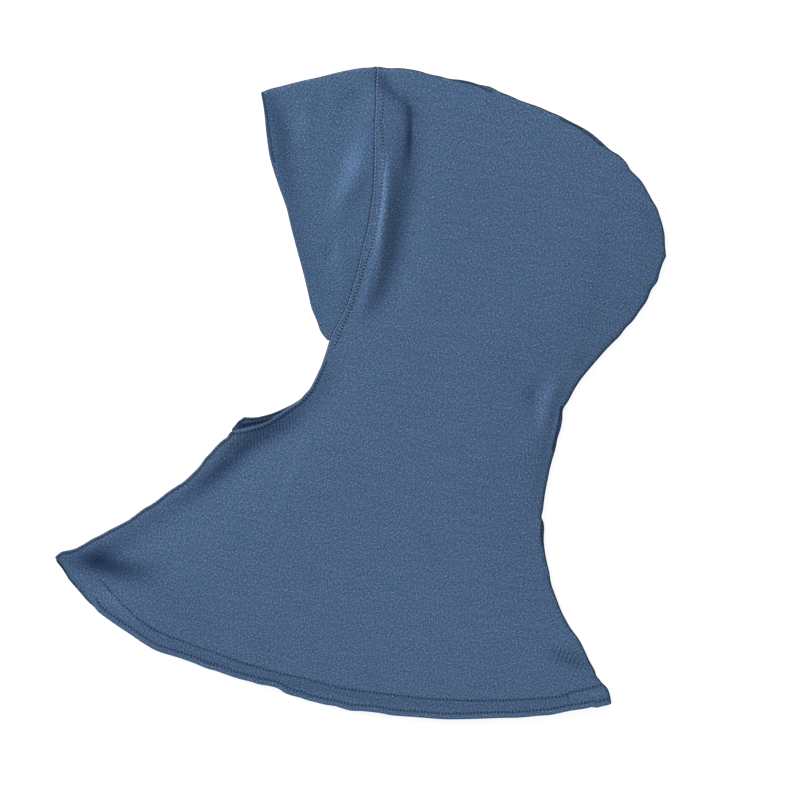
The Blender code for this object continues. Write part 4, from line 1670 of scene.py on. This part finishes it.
@dataclass
class SeamAllowance:
    """The edges of both panels, sewn together inside a closed seam.

    Attributes:
        name: Name of the piece.
        line: Closed edge, with the hood on its left.
        lay: Heights of the cloth.
        start: Distance from the line's start at which it begins.
        end: Distance from the line's end at which it stops.
        width: Width of the allowance.
        gap: Play between the cloths.
        column: Distance between the net's columns.
        wave: Rise of the free edge's wave.
        wave_reach: Length of the wave over one radian.
    """

    name: str
    line: np.ndarray
    lay: Lay
    start: float
    end: float
    width: float = 0.0050
    gap: float = 0.0003
    column: float = 0.0025
    wave: float = 0.0001
    wave_reach: float = 0.0040

    def build(self, finish: JerseyFinish) -> bpy.types.Object:
        """Make the allowance: a level strip beside the line, with a small wave along its free edge.

        Args:
            finish: Finish of its jersey.

        Returns:
            The allowance.
        """
        whole = distances_along(self.line)[-1]
        share = np.linspace(self.start / whole, 1 - self.end / whole, int(whole / self.column))
        near = self.lay.cloth + 2 * self.gap
        across = np.linspace(0.0, 1.0, 5)
        sides = [at_share(shifted(self.line, near + step * self.width), share) for step in across]
        wave = self.wave * np.sin(share * whole / self.wave_reach)
        height = self.lay.seam_height + across[:, None] * wave[None, :]
        net = np.concatenate([np.stack(sides), height[..., None]], axis=-1)
        faces = grid_faces(*net.shape[:2])
        return mesh_piece(self.name, net, faces, finish.material(), None, self.lay.cloth)


@dataclass
class Studio:
    """Camera straight above, soft key light from the upper left, even fill and a pale floor.

    Attributes:
        centre: Point of the hood in the middle of the picture, in metres.
        view: Width of the picture on the hood, in metres.
        distance: Height of the camera above the hood.
        level: Height of the hood at which the width is measured.
        total: Brightness of a white level surface.
        key_share: Share of the key light in it.
        elevation: Height of the key light, in degrees.
        azimuth: Direction to the key light from +X, in degrees.
        softness: Angle across the key light, in degrees.
        floor_reach: Half width of the floor, in metres.
        floor_drop: How far the floor lies below the hood.
        floor_grey: Colour of the floor.
        floor_glow: Its own light, as a share of white.
    """

    centre: tuple[float, float] = (0.02665, -0.00506)
    view: float = 0.5262
    distance: float = 2.4
    level: float = 0.007
    total: float = 1.25
    key_share: float = 0.60
    elevation: float = 42.0
    azimuth: float = 140.0
    softness: float = 22.0
    floor_reach: float = 3.0
    floor_drop: float = 0.3 * MM
    floor_grey: float = 0.35
    floor_glow: float = 0.84

    def camera(self) -> None:
        """Place the camera and make it the scene's own."""
        data = bpy.data.cameras.new("camera")
        data.sensor_width = 36.0
        data.lens = data.sensor_width * (self.distance - self.level) / self.view
        data.clip_end = 20.0
        camera = bpy.data.objects.new("camera", data)
        camera.location = (*self.centre, self.distance)
        bpy.context.scene.collection.objects.link(camera)
        bpy.context.scene.camera = camera

    def lights(self) -> None:
        """Add the key light and the fill."""
        key = bpy.data.lights.new("key", "SUN")
        key.angle = math.radians(self.softness)
        rise = math.radians(self.elevation)
        key.energy = self.total * self.key_share * math.pi / math.sin(rise)
        lamp = bpy.data.objects.new("key", key)
        turn = math.radians(self.azimuth)
        towards = (math.cos(rise) * math.cos(turn), math.cos(rise) * math.sin(turn), math.sin(rise))
        lamp.location = towards
        lamp.rotation_euler = Vector(towards).to_track_quat("Z", "Y").to_euler()
        bpy.context.scene.collection.objects.link(lamp)
        world = bpy.data.worlds.new("fill")
        world.use_nodes = True
        fill = self.total * (1 - self.key_share)
        world.node_tree.nodes["Background"].inputs["Color"].default_value = (fill, fill, fill, 1.0)
        bpy.context.scene.world = world

    def floor(self) -> None:
        """Lay the pale floor, a table of white paper that is lit a little from below."""
        points = np.array([(-1, -1, 0), (1, -1, 0), (1, 1, 0), (-1, 1, 0)]) * self.floor_reach
        points[:, 2] = -self.floor_drop
        graph = Graph("paper")
        shader = graph.shader.inputs
        shader["Base Color"].default_value = (*[self.floor_grey] * 3, 1.0)
        shader["Roughness"].default_value = 1.0
        shader["Specular IOR Level"].default_value = 0.0
        shader["Emission Color"].default_value = (1.0, 1.0, 1.0, 1.0)
        shader["Emission Strength"].default_value = self.floor_glow
        graph.material.cycles.emission_sampling = "NONE"
        mesh_piece("floor", points, np.array([[0, 1, 2, 3]]), graph.material)

    def build(self) -> None:
        """Set up the whole studio."""
        self.camera()
        self.lights()
        self.floor()
        bpy.context.scene.view_settings.view_transform = "Standard"


def place_piece(piece: bpy.types.Object, nodes: Sequence[str] = ()) -> bpy.types.Object:
    """Fix a piece to the hood, and hide the solids that it stands for.

    Args:
        piece: The piece.
        nodes: Solids that it replaces.

    Returns:
        The same piece.
    """
    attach(piece, "root")
    if nodes:
        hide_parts(*nodes)
    LOG.info("%s: %d faces", piece.name, len(piece.data.polygons))
    return piece


@dataclass(frozen=True)
class Cut:
    """What a sheet of cloth was cut to, and how it lies.

    Attributes:
        flat: Width and length, in metres. Not used.
        area: Flat area in square metres, where it isn't a rectangle. Not used.
        held: How it lies. Not used.
    """

    flat: tuple[float, float]
    area: float | None = None
    held: str = "laid"


@dataclass
class Underscarf:
    """The whole hood.

    Attributes:
        lay: Heights of its cloth.
    """

    lay: Lay

    def rows(self, near: HoodLayer) -> dict[str, np.ndarray]:
        """Lay out the stitch rows.

        Args:
            near: Near layer of the hood.

        Returns:
            The rows by name.
        """
        hem = near.hem[np.searchsorted(near.hem[:, 0], -0.176) :]
        return {
            "hem_upper": smooth_line(HEM_ROW_UPPER),
            "hem_lower": shifted(hem, 0.0040),
            "topstitch": smooth_line(TOPSTITCH),
            "chin": shifted(near.face[near.face[:, 1] < 0.022], 0.0024),
            "seam": near.face[near.face[:, 1] > 0.026],
        }

    def puckers(self) -> tuple[Pucker, ...]:
        """Lay out the patches of fine ripples, drawn as painted shade.

        Returns:
            The painted ripple shade at the chin and at the back corner of the hem.
        """
        chin = ((-34.0, -11.0, 0.0), (-52.3, -22.0, 1.0), (-66.8, -29.0, 1.0), (-84.0, -34.0, 0.6))
        corner = ((120.0, -167.0, 0.0), (131.0, -173.0, 1.0), (143.0, -178.0, 1.0), (153.0, -182.0, 0.0))
        return (
            Pucker("chin_ripple_shade", chin, 7.0, 0.0022, 4.0, 0.42),
            Pucker("corner_ripple_shade", corner, 4.5, 0.0028, -22.0, 0.5),
        )

    def jerseys(self, near: HoodLayer, rows: Mapping[str, np.ndarray]) -> dict[str, JerseyFinish]:
        """Choose the finish of every cloth piece.

        Args:
            near: Near layer of the hood.
            rows: The stitch rows by name.

        Returns:
            The finishes by solid. face_hem differs from bottom_hem by the painted shade between the
            layers.
        """
        sewn = tuple((row, 0.0) for row in rows.values())
        # Painted shade in the stitch furrows and their needle holes
        stitches = MarkGroup("stitches", MarkKind.STITCHES, sewn, width=0.0012, dark=0.70)
        # Painted shade lines at the closed edges, in the seam ditches and at the hem overlap, dark in the
        # colour only
        edges = (
            (near.crown, 0.0007),
            (near.back, 0.0007),
            (near.throat, 0.0020),
            *((smooth_line(line), 0.0) for line in SEAM_DITCHES + (HEM_OVERLAP,)),
        )
        groove_shade = MarkGroup("groove_shade", MarkKind.GROOVE, edges, width=0.0010, dark=0.62)
        # Painted shadow between the band's two leaves, along the near leaf's front edge
        front = near.band_front[near.band_front[:, 1] > 0.150]
        band_edge_shadow = MarkGroup("band_edge_shadow", MarkKind.GROOVE, ((front, 0.0),), width=0.0008, dark=0.5)
        allowance = JerseyFinish("allowance_jersey", (62, 86, 117))
        return {
            "left_panel": JerseyFinish(
                "near_jersey",
                (72.6, 98.4, 132),
                painted_tones=PAINTED_LIGHT_AND_SHADE,
                marks=(stitches, groove_shade),
                puckers=self.puckers(),
            ),
            "right_panel": JerseyFinish("far_jersey", (73, 98, 130), painted_tones=FAR_PAINTED_SHADE, marks=(groove_shade,)),
            "forehead_band": JerseyFinish("band_jersey", (71, 98, 131), painted_tones=PAINTED_LIGHT_AND_SHADE, marks=(band_edge_shadow,)),
            "face_hem": JerseyFinish("inner_jersey", (70, 95, 126), painted_tones=FAR_PAINTED_SHADE),
            "bottom_hem": JerseyFinish("hem_jersey", (72, 97, 128)),
            "crown_seam": allowance,
            "throat_seam": allowance,
        }

    def build(self) -> None:
        """Build, dress and place all pieces, each from the part that stands for a solid."""
        near, far = HoodLayer(Side.NEAR, self.lay), HoodLayer(Side.FAR, self.lay)
        rows = self.rows(near)
        spine = np.vstack([near.crown, near.back[1:]])[::-1]
        parts = {
            "left_panel": SidePanel("left_panel_cloth", near, columns=165, face_rows=112, throat_rows=70),
            "right_panel": SidePanel("right_panel_cloth", far, columns=90, face_rows=60, throat_rows=40),
            "forehead_band": ForeheadBand(near, far),
            "face_hem": FaceHem(near, far),
            "bottom_hem": BottomHem(near, far),
            "crown_seam": SeamAllowance("crown_allowance", spine, self.lay, start=0.019, end=0.010),
            "throat_seam": SeamAllowance(
                "throat_allowance", near.throat, self.lay, start=0.008, end=0.019
            ),
        }
        finishes = self.jerseys(near, rows)
        cloths = {
            node: place_piece(part.build(finishes[node]), [node])
            for node, part in parts.items()
        }
        self.sew(near, far, rows)

    def sew(
        self, near: HoodLayer, far: HoodLayer, rows: Mapping[str, np.ndarray]
    ) -> dict[str, list[bpy.types.Object]]:
        """Sew all visible rows.

        Args:
            near: Near layer of the hood.
            far: Far layer of the hood.
            rows: The rows by name.

        Returns:
            The sewn rows by the panel that carries them.
        """
        half = self.lay.cloth / 2
        pale = ThreadFinish("light_thread", (132, 155, 187)).material()
        plain = ThreadFinish("plain_thread", (84, 108, 142)).material()
        dark = ThreadFinish("dark_thread", (34, 48, 76)).material()
        chin_far = shifted(far.face[far.face[:, 1] < 0.0], 0.0034)
        above = half + OverlockRow.radius
        sewn = {
            "left_panel": [
                (StitchRow("stitches_hem_upper", rows["hem_upper"], near, half), plain),
                (StitchRow("stitches_hem_lower", rows["hem_lower"], near, half), plain),
                (StitchRow("stitches_topstitch", rows["topstitch"], near, half, radius=0.00034), pale),
                (StitchRow("stitches_chin", rows["chin"], near, half, length=0.5), plain),
                (StitchRow("stitches_seam", rows["seam"], near, half, 0.0023, 0.7, 0.0004, 0.0012), pale),
            ],
            "right_panel": [
                (StitchRow("stitches_far_hem_upper", rows["hem_upper"], far, -half), plain),
                (StitchRow("stitches_far_hem_lower", rows["hem_lower"], far, -half), plain),
                (OverlockRow("overlock_chin", chin_far, far, above, 2 * half + OverlockRow.radius), dark),
            ],
        }
        return {
            panel: [place_piece(row.build(thread)) for row, thread in panel_rows]
            for panel, panel_rows in sewn.items()
        }


def main() -> None:
    """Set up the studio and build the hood."""
    logging.basicConfig(level=logging.INFO, format="%(name)s: %(message)s")
    Studio().build()
    Underscarf(Lay()).build()


if __name__ == "__main__":
    main()
